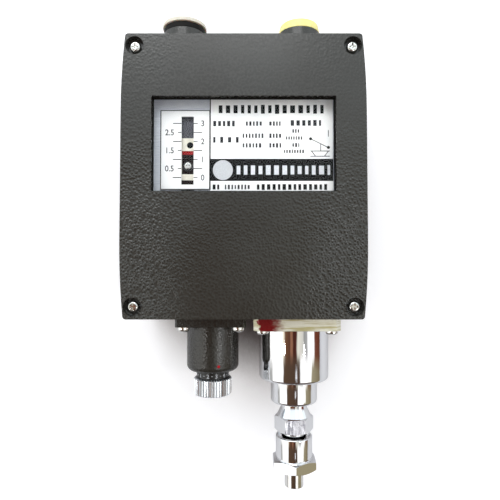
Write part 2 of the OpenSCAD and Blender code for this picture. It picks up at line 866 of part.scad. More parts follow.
module push_rod_guide() {
    bottom = -half_h - flange_gasket_t;
    color("#b89a58") difference() {
        upright(bellows_x, port_d, bottom, bottom + guide_t, guide_r);
        upright(bellows_x, port_d, bottom - 1, bottom + guide_t + 1, rod_r + tiny);
    }
}

module bellows() {
    pitch = (bellows_z1 - chamber_z) / folds;
    skin = 0.35;
    color("#b9824a") translate([bellows_x, -port_d, 0]) rotate_extrude() polygon(concat(
        [for (i = [0:folds - 1], k = [0, 1])
            [k == 0 ? bellows_root_r : bellows_r, chamber_z + (i + k / 2) * pitch]],
        [[bellows_root_r, bellows_z1], [bellows_root_r - skin, bellows_z1]],
        [for (i = [folds - 1:-1:0], k = [1, 0])
            [(k == 0 ? bellows_root_r : bellows_r) - skin - (k == 0 ? 0 : skin),
                chamber_z + (i + k / 2) * pitch]]));
}

module bellows_cap() {
    color("#c49a4a") upright(bellows_x, port_d, bellows_z1, bellows_z1 + cap_t, bellows_r);
}

module push_rod() {
    color("#c8c8c4") translate([bellows_x, -port_d, bellows_z1 + cap_t])
        round_end(rod_r, lever_bottom - contact_gap - bellows_z1 - cap_t, 0.8);
}

module hex_adaptor() {
    color("#d6d6d2") translate([bellows_x, -port_d, 0]) difference() {
        union() {
            translate([0, 0, nose_z]) cylinder(r = spigot_r, h = spigot_l);
            translate([0, 0, cone_z]) cylinder(r = neck_r, h = nose_z - cone_z);
            translate([0, 0, adaptor_z1])
                cylinder(r1 = adaptor_af / 2, r2 = neck_r, h = cone_z - adaptor_z1);
            hexagon(adaptor_af, adaptor_z0, adaptor_z1, adaptor_turn);
            translate([0, 0, relief_z0]) cylinder(r = relief_r, h = adaptor_z0 - relief_z0);
            translate([0, 0, thread_end_z]) cylinder(r = union_thread_r, h = relief_z0 - thread_end_z);
        }
        translate([0, 0, thread_end_z - 1]) cylinder(r = port_r, h = nose_z + 6 - thread_end_z);
    }
}

module union_nut() {
    color("#dcdcd8") translate([bellows_x, -port_d, 0]) difference() {
        union() {
            translate([0, 0, nut_hex_z - 0.5]) round_end(nut_r, nut_z1 - nut_hex_z + 0.5, 0.6);
            hexagon(union_af, nut_z0, nut_hex_z, nut_turn);
        }
        translate([0, 0, nipple_collar_z - tiny])
            cylinder(r = union_thread_r + tiny, h = nut_z1 - nipple_collar_z + 1);
        translate([0, 0, nut_z1 - nut_mouth_t]) cylinder(r = nut_mouth_r, h = nut_mouth_t + 1);
        translate([0, 0, nut_z0 - 1]) cylinder(r = nut_hole_r, h = 6);
    }
}

module union_washer() {
    color("#b06a3c") translate([bellows_x, -port_d, thread_end_z - washer_t]) difference() {
        cylinder(r = nipple_collar_r, h = washer_t);
        translate([0, 0, -1]) cylinder(r = pipe_bore_r, h = 3);
    }
}

module pipe_nipple() {
    shoulder_z = nut_z0 - 0.3;
    color("#cfcac2") translate([bellows_x, -port_d, 0]) difference() {
        union() {
            translate([0, 0, nipple_collar_z])
                cylinder(r = nipple_collar_r, h = thread_end_z - washer_t - nipple_collar_z);
            translate([0, 0, shoulder_z]) cylinder(r = nipple_neck_r, h = nipple_collar_z - shoulder_z);
            translate([0, 0, pipe_z]) cylinder(r = pipe_r, h = shoulder_z - pipe_z);
        }
        translate([0, 0, pipe_z - 1]) cylinder(r = pipe_bore_r, h = thread_end_z - pipe_z + 2);
    }
}

// ---------- differential adjuster ----------

module differential_gasket() {
    color("#1c1c1c") translate([diff_x, -port_d, -half_h - flange_gasket_t]) difference() {
        linear_extrude(flange_gasket_t) square(diff_flange_w, center = true);
        translate([0, 0, -1]) cylinder(r = tube_r + 0.1, h = 3);
        flange_holes(diff_screw_dx, -1, 2);
    }
}

module differential_housing() {
    top = -half_h - flange_gasket_t;
    color("#4f4f49") translate([diff_x, -port_d, 0]) difference() {
        union() {
            translate([0, 0, diff_flange_z]) linear_extrude(top - diff_flange_z)
                chamfered_square(diff_flange_w, 1);
            translate([0, 0, diff_flange_z]) mirror([0, 0, 1])
                round_end(diff_r, diff_flange_z - diff_z, diff_round);
            translate([0, 0, diff_flange_z]) cylinder(r = tube_r, h = tube_z - diff_flange_z);
        }
        translate([0, 0, diff_floor_z]) cylinder(r = diff_bore_r, h = diff_flange_z - diff_floor_z);
        translate([0, 0, diff_flange_z - 1]) cylinder(r = tube_bore_r, h = tube_z - diff_flange_z + 2);
        translate([0, 0, diff_z - 1]) cylinder(r = diff_spindle_r + tiny, h = 8);
        flange_holes(diff_screw_dx, diff_flange_z - 1, top + 1);
    }
}

module differential_flange_screws() {
    color("#d8d8d4") for (sx = [-1, 1], sd = [-1, 1])
        facing_down(diff_x + sx * diff_screw_dx, port_d + sd * diff_screw_dx, diff_flange_z)
            pan_screw(m4_r, 11.5, flange_head_r, diff_head_h);
}

module differential_cap() {
    color("#b89a58") difference() {
        upright(diff_x, port_d, tube_z, tube_z + diff_cap_t, tube_r);
        upright(diff_x, port_d, tube_z - 1, tube_z + diff_cap_t + 1, diff_pin_r + tiny);
    }
}

module differential_plunger() {
    color("#c8c8c4") {
        upright(diff_x, port_d, tube_z - plunger_flange_t - tiny, tube_z - tiny, tube_bore_r - tiny);
        translate([diff_x, -port_d, tube_z - tiny])
            round_end(diff_pin_r, lever_bottom - contact_gap - tube_z + tiny, 0.8);
    }
}

module differential_spring() {
    color("#a7a9ab") translate([diff_x, -port_d, 0]) spring(diff_spring_r, seat_z0 + seat_t,
        tube_z - plunger_flange_t - tiny, diff_coils);
}

module differential_spring_seat() {
    color("#b89a58") difference() {
        upright(diff_x, port_d, seat_z0, seat_z0 + seat_t, seat_r);
        upright(diff_x, port_d, seat_z0 - 1, seat_z0 + seat_t + 1, diff_spindle_r + tiny);
        block(diff_x + 8.2, diff_x + 11, port_d - 10, port_d + 10, seat_z0 - 1, seat_z0 + seat_t + 1);
    }
}

module differential_spindle() {
    color("#b9b7b0") translate([diff_x, -port_d, 0]) {
        translate([0, 0, knob_z1]) cylinder(r = diff_spindle_r, h = diff_spindle_z1 - knob_z1);
        translate([0, 0, knob_z0 + 2]) cylinder(r = knob_core_r, h = knob_z1 - knob_z0 - 2);
        translate([0, 0, diff_floor_z + tiny]) cylinder(r = 6, h = 2);
    }
}

module differential_dial() {
    color("#151515") difference() {
        upright(diff_x, port_d, knob_z1, diff_z - dial_gap, dial_r);
        upright(diff_x, port_d, knob_z1 - 1, diff_z, diff_spindle_r);
    }
}

// Straight-knurled outline: each tooth has a flat crest and a flat root
module knurl() {
    step = 360 / knob_teeth;
    polygon([for (i = [0:knob_teeth - 1], k = [0:3])
        let(a = (i + [0.1, 0.4, 0.6, 0.9][k]) * step, r = (k == 1 || k == 2) ? knob_r : knob_root_r)
            r * [cos(a), sin(a)]]);
}

module differential_knob() {
    edge = 0.7;
    color("#d9dbdc") translate([diff_x, -port_d, 0]) difference() {
        intersection() {
            translate([0, 0, knob_z0]) linear_extrude(knob_z1 - knob_z0) knurl();
            rotate_extrude() polygon([[0, knob_z0], [knob_r - edge, knob_z0],
                [knob_r + 0.1, knob_z0 + edge],
                [knob_r + 0.1, knob_z1 - edge], [knob_r - edge, knob_z1], [0, knob_z1]]);
        }
        translate([0, 0, knob_z0 + 2]) cylinder(r = knob_core_r, h = 20);
        translate([0, 0, (knob_z0 + knob_z1) / 2]) rotate([-90, 0, 0]) cylinder(r = grub_r, h = 20);
    }
}

module knob_set_screw() {
    color("#555658") translate([diff_x, -port_d, (knob_z0 + knob_z1) / 2]) rotate([-90, 0, 0])
        difference() {
            translate([0, 0, knob_core_r]) cylinder(r = grub_r, h = 5.5);
            translate([0, 0, knob_core_r + 4]) cylinder(r = 0.7, h = 3, $fn = 6);
        }
}

// ---------- cable entries ----------

module gland_seal() {
    color("#131313") translate([gland_x, -port_d, boss_z]) difference() {
        cylinder(r = boss_r, h = seal_t);
        translate([0, 0, -1]) cylinder(r = entry_r + 0.1, h = seal_t + 2);
    }
}

module gland_nut() {
    top = boss_z + seal_t;
    color("#f1ecdf") translate([gland_x, -port_d, 0]) difference() {
        union() {
            translate([0, 0, neck_z]) cylinder(r = entry_r - tiny, h = top - neck_z);
            translate([0, 0, top + 0.02]) round_end(gland_flange_r, gland_flange_t, 0.6);
            translate([0, 0, top - 0.5]) cylinder(r = entry_r - tiny, h = 1);
        }
        translate([0, 0, neck_z - 1]) cylinder(r = gland_relief_r, h = top - neck_z + 1);
        translate([0, 0, top - 1]) cylinder(r = cable_r, h = gland_flange_t + 2);
    }
}

module blanking_plug() {
    color("#f3ecae") translate([plug_x, -port_d, 0]) difference() {
        union() {
            translate([0, 0, neck_z]) cylinder(r = entry_r - tiny, h = boss_z - neck_z + 1);
            translate([0, 0, boss_z + 0.02]) tapered_end(plug_head_r, plug_head_t, plug_head_taper, 0.7);
        }
        translate([0, 0, neck_z - 1]) cylinder(r = plug_bore_r, h = boss_z - neck_z);
    }
}

housing();
cover_gasket();
mechanism_bracket();
bracket_screws();
plate_posts();
plate_bracket();
scale_plate();
nameplate();
plate_screws();
lever_pivot_pin();
microswitch_case();
switch_terminals();
switch_screws();
terminal_standoffs();
terminal_block();
terminal_clamps();
terminal_screws();
internal_wires();
earth_screw();
bellows_flange_gasket();
bellows_housing();
bellows_flange_screws();
push_rod_guide();
hex_adaptor();
differential_gasket();
differential_housing();
differential_flange_screws();
differential_cap();
cover();
window_gasket();
window_pane();
window_retainer();
window_retainer_screws();
cover_screws();
range_spindle();
spindle_circlip();
range_carriage();
range_pointer();
pointer_washer();
pointer_screw();
main_spring();
main_lever();
spring_anchor();
bellows();
bellows_cap();
push_rod();
switch_plunger();
differential_plunger();
differential_spring();
differential_spring_seat();
differential_spindle();
differential_dial();
differential_knob();
knob_set_screw();
union_nut();
pipe_nipple();
union_washer();
gland_seal();
gland_nut();
blanking_plug();
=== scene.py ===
import json
import math
import random

import bmesh
import bpy
from mathutils import Matrix, Vector
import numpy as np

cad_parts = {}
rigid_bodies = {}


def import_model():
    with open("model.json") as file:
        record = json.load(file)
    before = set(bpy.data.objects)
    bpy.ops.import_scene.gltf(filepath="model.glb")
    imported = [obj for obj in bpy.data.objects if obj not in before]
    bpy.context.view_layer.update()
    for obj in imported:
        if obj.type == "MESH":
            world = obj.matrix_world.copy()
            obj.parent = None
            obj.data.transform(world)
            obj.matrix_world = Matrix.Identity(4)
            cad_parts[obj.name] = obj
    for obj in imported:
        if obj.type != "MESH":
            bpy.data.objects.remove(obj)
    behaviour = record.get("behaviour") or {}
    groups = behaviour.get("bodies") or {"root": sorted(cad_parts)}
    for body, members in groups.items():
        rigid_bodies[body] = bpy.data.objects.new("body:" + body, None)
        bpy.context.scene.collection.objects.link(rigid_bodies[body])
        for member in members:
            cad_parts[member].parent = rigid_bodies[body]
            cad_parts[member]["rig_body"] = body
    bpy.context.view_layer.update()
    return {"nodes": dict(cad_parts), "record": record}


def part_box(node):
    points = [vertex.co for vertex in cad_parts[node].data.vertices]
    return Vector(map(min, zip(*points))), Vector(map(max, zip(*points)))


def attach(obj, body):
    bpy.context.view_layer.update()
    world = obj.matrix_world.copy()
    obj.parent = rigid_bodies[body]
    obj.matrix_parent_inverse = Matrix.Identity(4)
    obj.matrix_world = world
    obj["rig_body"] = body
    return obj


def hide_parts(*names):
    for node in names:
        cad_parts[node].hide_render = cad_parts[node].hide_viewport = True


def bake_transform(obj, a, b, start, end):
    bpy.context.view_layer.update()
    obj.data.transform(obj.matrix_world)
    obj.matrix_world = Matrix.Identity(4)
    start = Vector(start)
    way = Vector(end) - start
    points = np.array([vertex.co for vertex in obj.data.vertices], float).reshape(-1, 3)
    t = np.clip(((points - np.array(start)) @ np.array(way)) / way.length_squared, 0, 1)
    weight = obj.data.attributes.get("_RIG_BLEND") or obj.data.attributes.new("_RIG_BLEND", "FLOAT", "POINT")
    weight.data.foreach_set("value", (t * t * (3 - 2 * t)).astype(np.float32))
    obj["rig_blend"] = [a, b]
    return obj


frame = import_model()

MM = 0.001
PORT_Y = -31.5                  # depth line of all four connections, mm
random.seed(7)


def box_mm(node):
    low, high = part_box(node)
    return low / MM, high / MM


# ---------- materials ----------

def srgb(r, g, b):
    """Linear colour from 0-255 display values."""
    def channel(v):
        v /= 255
        return v / 12.92 if v <= 0.04045 else ((v + 0.055) / 1.055) ** 2.4
    return (channel(r), channel(g), channel(b), 1)


class Look:
    """A procedural material built around one Principled shader, with textures in millimetres."""

    def __init__(self, name, color, metallic=0.0, roughness=0.5, **sockets):
        self.material = bpy.data.materials.new(name)
        self.material.use_nodes = True
        self.tree = self.material.node_tree
        self.shader = self.tree.nodes["Principled BSDF"]
        self.shader.inputs["Base Color"].default_value = color
        self.shader.inputs["Metallic"].default_value = metallic
        self.shader.inputs["Roughness"].default_value = roughness
        for socket, value in sockets.items():
            self.shader.inputs[socket.replace("_", " ")].default_value = value
        self.material.diffuse_color = color
        self.place = self.node("ShaderNodeTexCoord").outputs["Object"]

    def node(self, kind, **values):
        made = self.tree.nodes.new(kind)
        for key, value in values.items():
            setattr(made, key, value)
        return made

    def link(self, source, target):
        self.tree.links.new(source, target)

    def scaled(self, sx, sy=None, sz=None):
        """Object coordinates times cycles per millimetre along each axis."""
        mapping = self.node("ShaderNodeMapping")
        factors = (sx, sx if sy is None else sy, sx if sz is None else sz)
        mapping.inputs["Scale"].default_value = [f / MM for f in factors]
        self.link(self.place, mapping.inputs["Vector"])
        return mapping.outputs["Vector"]

    def noise(self, vector, detail=3.0, roughness=0.5, distortion=0.0):
        made = self.node("ShaderNodeTexNoise")
        made.inputs["Scale"].default_value = 1.0
        made.inputs["Detail"].default_value = detail
        made.inputs["Roughness"].default_value = roughness
        made.inputs["Distortion"].default_value = distortion
        self.link(vector, made.inputs["Vector"])
        return made.outputs["Fac"]

    def pebbles(self, vector):
        """Distance from the middle of the nearest of many small rounded bumps."""
        made = self.node("ShaderNodeTexVoronoi", feature="SMOOTH_F1")
        made.inputs["Scale"].default_value = 1.0
        made.inputs["Smoothness"].default_value = 0.35
        self.link(vector, made.inputs["Vector"])
        return made.outputs["Distance"]

    def ramp(self, value, low, high, out_low=0.0, out_high=1.0):
        made = self.node("ShaderNodeMapRange")
        made.interpolation_type = "SMOOTHSTEP"
        for key, number in zip(("From Min", "From Max", "To Min", "To Max"), (low, high, out_low, out_high)):
            made.inputs[key].default_value = number
        self.link(value, made.inputs["Value"])
        return made.outputs["Result"]

    def mix(self, factor, first, second):
        made = self.node("ShaderNodeMix", data_type="RGBA")
        self.link(factor, made.inputs["Factor"])
        for socket, value in ((made.inputs[6], first), (made.inputs[7], second)):
            if isinstance(value, tuple):
                socket.default_value = value
            else:
                self.link(value, socket)
        return made.outputs[2]

    def color(self, source):
        self.link(source, self.shader.inputs["Base Color"])

    def rough(self, source):
        for old in list(self.shader.inputs["Roughness"].links):
            self.tree.links.remove(old)
        self.link(source, self.shader.inputs["Roughness"])

    def bump(self, height, distance_mm, strength=1.0):
        made = self.node("ShaderNodeBump")
        made.inputs["Distance"].default_value = distance_mm * MM
        made.inputs["Strength"].default_value = strength
        self.link(height, made.inputs["Height"])
        if self.shader.inputs["Normal"].is_linked:
            self.link(self.shader.inputs["Normal"].links[0].from_socket, made.inputs["Normal"])
        self.link(made.outputs["Normal"], self.shader.inputs["Normal"])

    def product(self, first, second):
        made = self.node("ShaderNodeMath", operation="MULTIPLY")
        self.link(first, made.inputs[0])
        self.link(second, made.inputs[1])
        return made.outputs[0]

    def axis(self, index):
        """One object coordinate in millimetres."""
        split = self.node("ShaderNodeSeparateXYZ")
        self.link(self.scaled(1), split.inputs[0])
        return split.outputs[index]


def hammertone_paint():
    """Dark stoved enamel with a pebbled relief, smoother towards the top and the middle."""
    look = Look("case_paint", srgb(40, 37, 33), roughness=0.24, Specular_IOR_Level=0.56)
    broad = look.noise(look.scaled(0.03), 2.0)
    look.color(look.mix(look.ramp(broad, 0.35, 0.65), srgb(41, 39, 34), srgb(47, 46, 42)))
    pebbles = look.pebbles(look.scaled(0.78))
    look.rough(look.ramp(pebbles, 0.2, 0.7, 0.19, 0.3))
    thinner_above = look.ramp(look.axis(2), -40, 40, 1.0, 0.15)
    across = look.axis(0)
    thicker_outwards = look.ramp(look.product(across, across), 80, 2000, 0.25, 1.15)
    paint_depth = look.product(thinner_above, thicker_outwards)
    look.bump(look.product(look.ramp(pebbles, 0.0, 0.85, 1.0, 0.0), paint_depth), 0.26, 1.0)
    look.bump(look.noise(look.scaled(2.2), 2.0), 0.03, 0.5)
    return look.material


CHROME = (0.78, 0.78, 0.79, 1)
KNOB_RIBS = 44
FLANGE_T = 6.2                  # thickness of the pressure element's square flange, mm


def chrome_surface(look):
    """Mirror plating with a slight waviness and faint polishing haze."""
    haze = look.noise(look.scaled(0.12, 0.12, 0.05), 4.0)
    look.rough(look.ramp(haze, 0.35, 0.8, 0.02, 0.1))
    look.bump(look.noise(look.scaled(0.14, 0.14, 0.06), 2.0), 0.14, 0.6)
    look.bump(look.noise(look.scaled(5, 5, 0.8), 2.0), 0.003, 0.3)
    return haze


def polished_chrome():
    look = Look("chrome_fittings", CHROME, 1.0, 0.05)
    chrome_surface(look)
    return look.material


def flange_chrome():
    """Chromed body whose square flange carries a painted reflection of something red on the left and painted
    pale straw reflection streaks elsewhere.
    """
    look = Look("pressure_element", CHROME, 1.0, 0.06)
    low, high = box_mm("bellows_housing")
    flange_low = high.z - FLANGE_T
    chrome_surface(look)
    on_flange = look.ramp(look.axis(2), flange_low, flange_low + 0.3)
    ragged = look.noise(look.scaled(0.35, 0.35, 0.7), 4.0)
    shifted = look.node("ShaderNodeMath", operation="MULTIPLY_ADD")
    look.link(ragged, shifted.inputs[0])
    shifted.inputs[1].default_value = 8.0
    look.link(look.axis(0), shifted.inputs[2])
    # Painted reflection: a red band with ragged edges across the left part of the flange.
    red_reflection_start = low.x + 6.4
    red_reflection_end = low.x + 17.0
    begins = look.ramp(shifted.outputs[0], red_reflection_start, red_reflection_start + 0.5)
    ends = look.ramp(shifted.outputs[0], red_reflection_end - 4.0, red_reflection_end + 3.0, 1.0, 0.0)
    span = look.product(begins, ends)
    painted_red_reflection_mask = look.product(on_flange, span)
    # Painted reflections: light and straw streaks running along the flange.
    reflection_streak_noise = look.noise(look.scaled(0.06, 0.06, 0.9), 3.0, 0.6)
    painted_reflection_streaks = look.mix(look.ramp(reflection_streak_noise, 0.42, 0.66), srgb(255, 254, 238), srgb(206, 197, 148))
    straw_reflections = look.mix(on_flange, CHROME, painted_reflection_streaks)
    look.color(look.mix(painted_red_reflection_mask, straw_reflections, srgb(132, 6, 12)))
    look.link(look.ramp(on_flange, 0.0, 1.0, 1.0, 0.25), look.shader.inputs["Metallic"])
    matt = look.node("ShaderNodeMath", operation="MULTIPLY_ADD")
    look.link(on_flange, matt.inputs[0])
    matt.inputs[1].default_value = 0.18
    look.link(look.shader.inputs["Roughness"].links[0].from_socket, matt.inputs[2])
    look.rough(matt.outputs[0])
    look.bump(look.product(on_flange, look.noise(look.scaled(0.9), 4.0)), 0.12, 0.5)
    return look.material


def plated_steel(name, color, roughness=0.3, streak=0.8):
    """Zinc or bright plated steel with fine tool marks."""
    look = Look(name, color, 1.0, roughness)
    marks = look.noise(look.scaled(streak * 4, streak * 4, streak * 0.3), 3.0)
    cloud = look.noise(look.scaled(0.15), 3.0)
    darker = tuple(c * 0.72 for c in color[:3]) + (1,)
    look.color(look.mix(look.ramp(cloud, 0.3, 0.75), color, darker))
    look.rough(look.ramp(marks, 0.3, 0.8, roughness * 0.8, roughness * 1.4))
    look.bump(marks, 0.008, 0.4)
    return look.material


def knurled_metal():
    """Bright ribs with painted shade in the grooves between them, spaced round the grip's own axis; noise
    makes the painted shade patchy.
    """
    low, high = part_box("differential_knob")
    look = Look("knob_metal", srgb(236, 240, 243), 1.0, 0.24)
    split = look.node("ShaderNodeSeparateXYZ")
    look.link(look.place, split.inputs[0])
    offsets = []
    for index in (0, 1):
        offset = look.node("ShaderNodeMath", operation="SUBTRACT")
        offset.inputs[1].default_value = (low[index] + high[index]) / 2
        look.link(split.outputs[index], offset.inputs[0])
        offsets.append(offset.outputs[0])
    angle = look.node("ShaderNodeMath", operation="ARCTAN2")
    look.link(offsets[1], angle.inputs[0])
    look.link(offsets[0], angle.inputs[1])
    turns = look.node("ShaderNodeMath", operation="MULTIPLY")
    turns.inputs[1].default_value = KNOB_RIBS
    look.link(angle.outputs[0], turns.inputs[0])
    wave = look.node("ShaderNodeMath", operation="COSINE")
    look.link(turns.outputs[0], wave.inputs[0])
    # Painted shade: the knurl's grooves are coloured dark, less so in patches.
    rib_groove_shade = look.ramp(wave.outputs[0], -0.2, 0.7)
    shade_patchiness = look.ramp(look.noise(look.scaled(0.4, 0.4, 0.05), 2.0), 0.3, 0.7, 0.45, 1.0)
    look.color(look.mix(look.product(rib_groove_shade, shade_patchiness), srgb(230, 234, 238), srgb(112, 118, 126)))
    look.rough(look.ramp(wave.outputs[0], -1, 1, 0.2, 0.4))
    return look.material


def brushed_sheet():
    """Satin aluminium brushed from side to side."""
    look = Look("plate_sheet", srgb(204, 208, 216), 0.3, 0.4)
    grain = look.noise(look.scaled(0.15, 5, 5), 3.0)
    look.color(look.mix(look.ramp(grain, 0.3, 0.8), srgb(222, 226, 232), srgb(186, 192, 204)))
    look.rough(look.ramp(grain, 0.3, 0.8, 0.34, 0.5))
    look.bump(grain, 0.006, 0.4)
    return look.material


def printed_enamel():
    """White gloss print on thin sheet."""
    look = Look("printed_plate", srgb(246, 246, 245), roughness=0.32)
    tint = look.noise(look.scaled(0.06), 2.0)
    look.color(look.mix(look.ramp(tint, 0.35, 0.7), srgb(248, 248, 247), srgb(234, 236, 237)))
    look.bump(look.noise(look.scaled(0.8), 2.0), 0.01, 0.3)
    return look.material


def ink(name, color):
    """Flat printing ink, slightly worn."""
    look = Look(name, color, roughness=0.7, Specular_IOR_Level=0.1)
    wear = look.noise(look.scaled(2.5), 2.0)
    lighter = tuple(min(1, c * 1.5 + 0.002) for c in color[:3]) + (1,)
    look.color(look.mix(look.ramp(wear, 0.5, 0.8), color, lighter))
    return look.material


def soft_rubber():
    """Matt black rubber with a little dust."""
    look = Look("seal_rubber", srgb(10, 9, 8), roughness=0.7, Specular_IOR_Level=0.25)
    dust = look.noise(look.scaled(1.2), 4.0)
    look.color(look.mix(look.ramp(dust, 0.5, 0.85), srgb(9, 8, 7), srgb(26, 24, 21)))
    look.bump(dust, 0.03, 0.5)
    return look.material


def moulded_plastic(name, color, roughness=0.4, **sockets):
    """Moulded part with a faint cloudiness and a fine grain."""
    look = Look(name, color, roughness=roughness, **sockets)
    cloud = look.noise(look.scaled(0.3), 3.0)
    darker = tuple(c * 0.86 for c in color[:3]) + (1,)
    look.color(look.mix(look.ramp(cloud, 0.4, 0.75), color, darker))
    look.rough(look.ramp(cloud, 0.3, 0.8, roughness * 0.85, roughness * 1.2))
    look.bump(look.noise(look.scaled(2.8), 2.0), 0.01, 0.4)
    return look.material


def clear_sheet():
    """Window pane, which lets light straight through so that the plates behind it stay lit."""
    look = Look("window_clear", (1, 1, 1, 1), roughness=0.02, Transmission_Weight=1.0, IOR=1.2)
    look.bump(look.noise(look.scaled(0.03), 2.0), 0.02, 0.15)
    clear = look.node("ShaderNodeBsdfTransparent")
    rays = look.node("ShaderNodeLightPath")
    either = look.node("ShaderNodeMixShader")
    look.link(rays.outputs["Is Shadow Ray"], either.inputs[0])
    look.link(look.shader.outputs[0], either.inputs[1])
    look.link(clear.outputs[0], either.inputs[2])
    look.link(either.outputs[0], look.tree.nodes["Material Output"].inputs["Surface"])
    return look.material


MATERIALS = {
    "case_paint": hammertone_paint(),
    "chrome_fittings": polished_chrome(),
    "bright_screws": plated_steel("bright_screws", srgb(228, 228, 224), 0.16, 1.5),
    "plate_sheet": brushed_sheet(),
    "printed_plate": printed_enamel(),
    "seal_rubber": soft_rubber(),
    "window_clear": clear_sheet(),
    "zinc_steel": plated_steel("zinc_steel", srgb(186, 188, 186), 0.34),
    "pipe_steel": plated_steel("pipe_steel", srgb(226, 224, 220), 0.09, 0.8),
    "brass_parts": plated_steel("brass_parts", srgb(214, 176, 104), 0.28),
    "bellows_bronze": plated_steel("bellows_bronze", srgb(200, 148, 96), 0.24),
    "copper_washer": plated_steel("copper_washer", srgb(206, 130, 92), 0.3),
    "zinc_casting": plated_steel("zinc_casting", srgb(84, 84, 90), 0.5),
    "spring_wire": plated_steel("spring_wire", srgb(150, 150, 150), 0.3),
    "knob_metal": knurled_metal(),
    "black_steel": plated_steel("black_steel", srgb(60, 60, 62), 0.4),
    "black_dial": moulded_plastic("black_dial", srgb(20, 20, 20), 0.35),
    "bakelite": moulded_plastic("bakelite", srgb(44, 38, 34), 0.38),
    "plunger_red": moulded_plastic("plunger_red", srgb(150, 40, 30), 0.4),
    "cream_plastic": moulded_plastic("cream_plastic", srgb(222, 217, 202), 0.42, Subsurface_Weight=0.05),
    "yellow_plastic": moulded_plastic("yellow_plastic", srgb(248, 236, 150), 0.4, Subsurface_Weight=0.1),
    "wire_insulation": moulded_plastic("wire_insulation", srgb(140, 40, 34), 0.4),
}
INK_BLACK = ink("ink_black", srgb(9, 9, 9))
INK_GREY = ink("ink_grey", srgb(40, 40, 44))
INK_WHITE = ink("ink_white", srgb(200, 203, 208))
# Dark brown used only for painted shade on the range pointer.
RECESS_SHADE_BROWN = ink("recess_shade_brown", srgb(26, 16, 13))
INK_RED = ink("ink_red", srgb(132, 20, 22))
DOT_RED = ink("dot_red", srgb(176, 24, 34))
DISC_WHITE = ink("disc_white", srgb(184, 187, 191))
PRESSURE_ELEMENT = flange_chrome()


# ---------- pieces ----------

SHARP_ANGLE = math.radians(32)


def add(name, mesh, material, body):
    """Makes a piece of a mesh, riding body unless body is None, with its material and slot."""
    piece = bpy.data.objects.new(name, mesh)
    bpy.context.scene.collection.objects.link(piece)
    mesh.materials.clear()
    mesh.materials.append(material)
    if body:
        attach(piece, body)
    return piece


def mesh_of(shape, name):
    """Turns a bmesh into a mesh and frees it."""
    data = bpy.data.meshes.new(name)
    shape.to_mesh(data)
    shape.free()
    return data


def smooth_by_angle(shape):
    """Marks sharp edges by their angle and smooths every face."""
    for edge in shape.edges:
        edge.smooth = edge.calc_face_angle(0) < SHARP_ANGLE
    for face in shape.faces:
        face.smooth = True


def dress(node, material, bevel):
    """Stands a cleaned copy of a CAD node in its place, with soft edges of bevel millimetres."""
    source = frame["nodes"][node]
    shape = bmesh.new()
    shape.from_mesh(source.data)
    bmesh.ops.remove_doubles(shape, verts=shape.verts, dist=0.002 * MM)
    bmesh.ops.dissolve_limit(shape, angle_limit=math.radians(0.4), verts=shape.verts, edges=shape.edges)
    smooth_by_angle(shape)
    data = mesh_of(shape, node + "_looks")
    for attribute in [a for a in data.attributes if a.name == "custom_normal"]:
        data.attributes.remove(attribute)
    piece = add(node + "_piece", data, material, source["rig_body"])
    if bevel:
        soften = piece.modifiers.new("soft_edges", "BEVEL")
        soften.width = bevel * MM
        soften.segments = 2
        soften.limit_method = "ANGLE"
        soften.angle_limit = SHARP_ANGLE
        soften.harden_normals = True
        soften.use_clamp_overlap = True
    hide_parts(node)


SLOTS = {part["node"]: part["material_slot"] for part in frame["record"]["subparts"]}
for node_name, node_object in frame["nodes"].items():
    node_object.data.materials.clear()
    node_object.data.materials.append(MATERIALS[SLOTS[node_name]])

BEVELS = {                      # width of each node's softened edges, mm
    "cover": 0.7, "housing": 0.7, "differential_housing": 0.5, "bellows_housing": 0.6,
    "hex_adaptor": 0.15, "union_nut": 0.15, "pipe_nipple": 0.3, "differential_knob": 0.08,
    "differential_dial": 0.15, "blanking_plug": 0.2, "gland_seal": 0.5, "gland_nut": 0.3,
    "range_pointer": 0.12, "range_carriage": 0.2, "scale_plate": 0.0, "terminal_block": 0.4,
    "microswitch_case": 0.4, "mechanism_bracket": 0.25, "main_lever": 0.3,
    "bellows_flange_gasket": 0.1, "differential_gasket": 0.1, "cover_gasket": 0.0,
    "cover_screws": 0.06, "bellows_flange_screws": 0.1, "differential_flange_screws": 0.1,
    "window_gasket": 0.15, "internal_wires": 0.0,
}
for node_name, edge_mm in BEVELS.items():
    own_material = PRESSURE_ELEMENT if node_name == "bellows_housing" else MATERIALS[SLOTS[node_name]]
    dress(node_name, own_material, edge_mm)


def add_sheet(shape, outline_mm, thickness_mm):
    """Adds a flat sheet from x-z points to a bmesh, its back at y = 0 and its front towards -Y."""
    front = [shape.verts.new((x * MM, -thickness_mm * MM, z * MM)) for x, z in outline_mm]
    back = [shape.verts.new((x * MM, 0, z * MM)) for x, z in outline_mm]
    count = len(front)
    shape.faces.new(front)
    shape.faces.new(list(reversed(back)))
    for i in range(count):
        j = (i + 1) % count
        shape.faces.new((front[j], front[i], back[i], back[j]))


def sheets(outlines_mm, thickness_mm, name):
    """One mesh of separate flat sheets."""
    shape = bmesh.new()
    for outline in outlines_mm:
        add_sheet(shape, outline, thickness_mm)
    bmesh.ops.recalc_face_normals(shape, faces=shape.faces)
    return mesh_of(shape, name)


def plate_shape(outline_mm, thickness_mm):
    return sheets([outline_mm], thickness_mm, "sheet")


def rectangles_shape(rectangles, thickness_mm):
    """Many separate flat rectangles (x0, x1, z0, z1) in one mesh."""
    outlines = [((x0, z0), (x1, z0), (x1, z1), (x0, z1)) for x0, x1, z0, z1 in rectangles]
    return sheets(outlines, thickness_mm, "marks")


def disc_points(x, z, r, count=40):
    """Points round a circle in the x-z plane."""
    return [(x + r * math.cos(2 * math.pi * i / count), z + r * math.sin(2 * math.pi * i / count))
            for i in range(count)]


INK_T = 0.04                    # thickness of printed ink, mm
FONT_SIZE_PER_HEIGHT = 1.4      # font size over the height of a digit


def printed(name, data, material, y_mm, body):
    """Lays a flat print on the face at depth y_mm."""
    data.transform(Matrix.Translation((0, y_mm * MM, 0)))
    add(name, data, material, body)


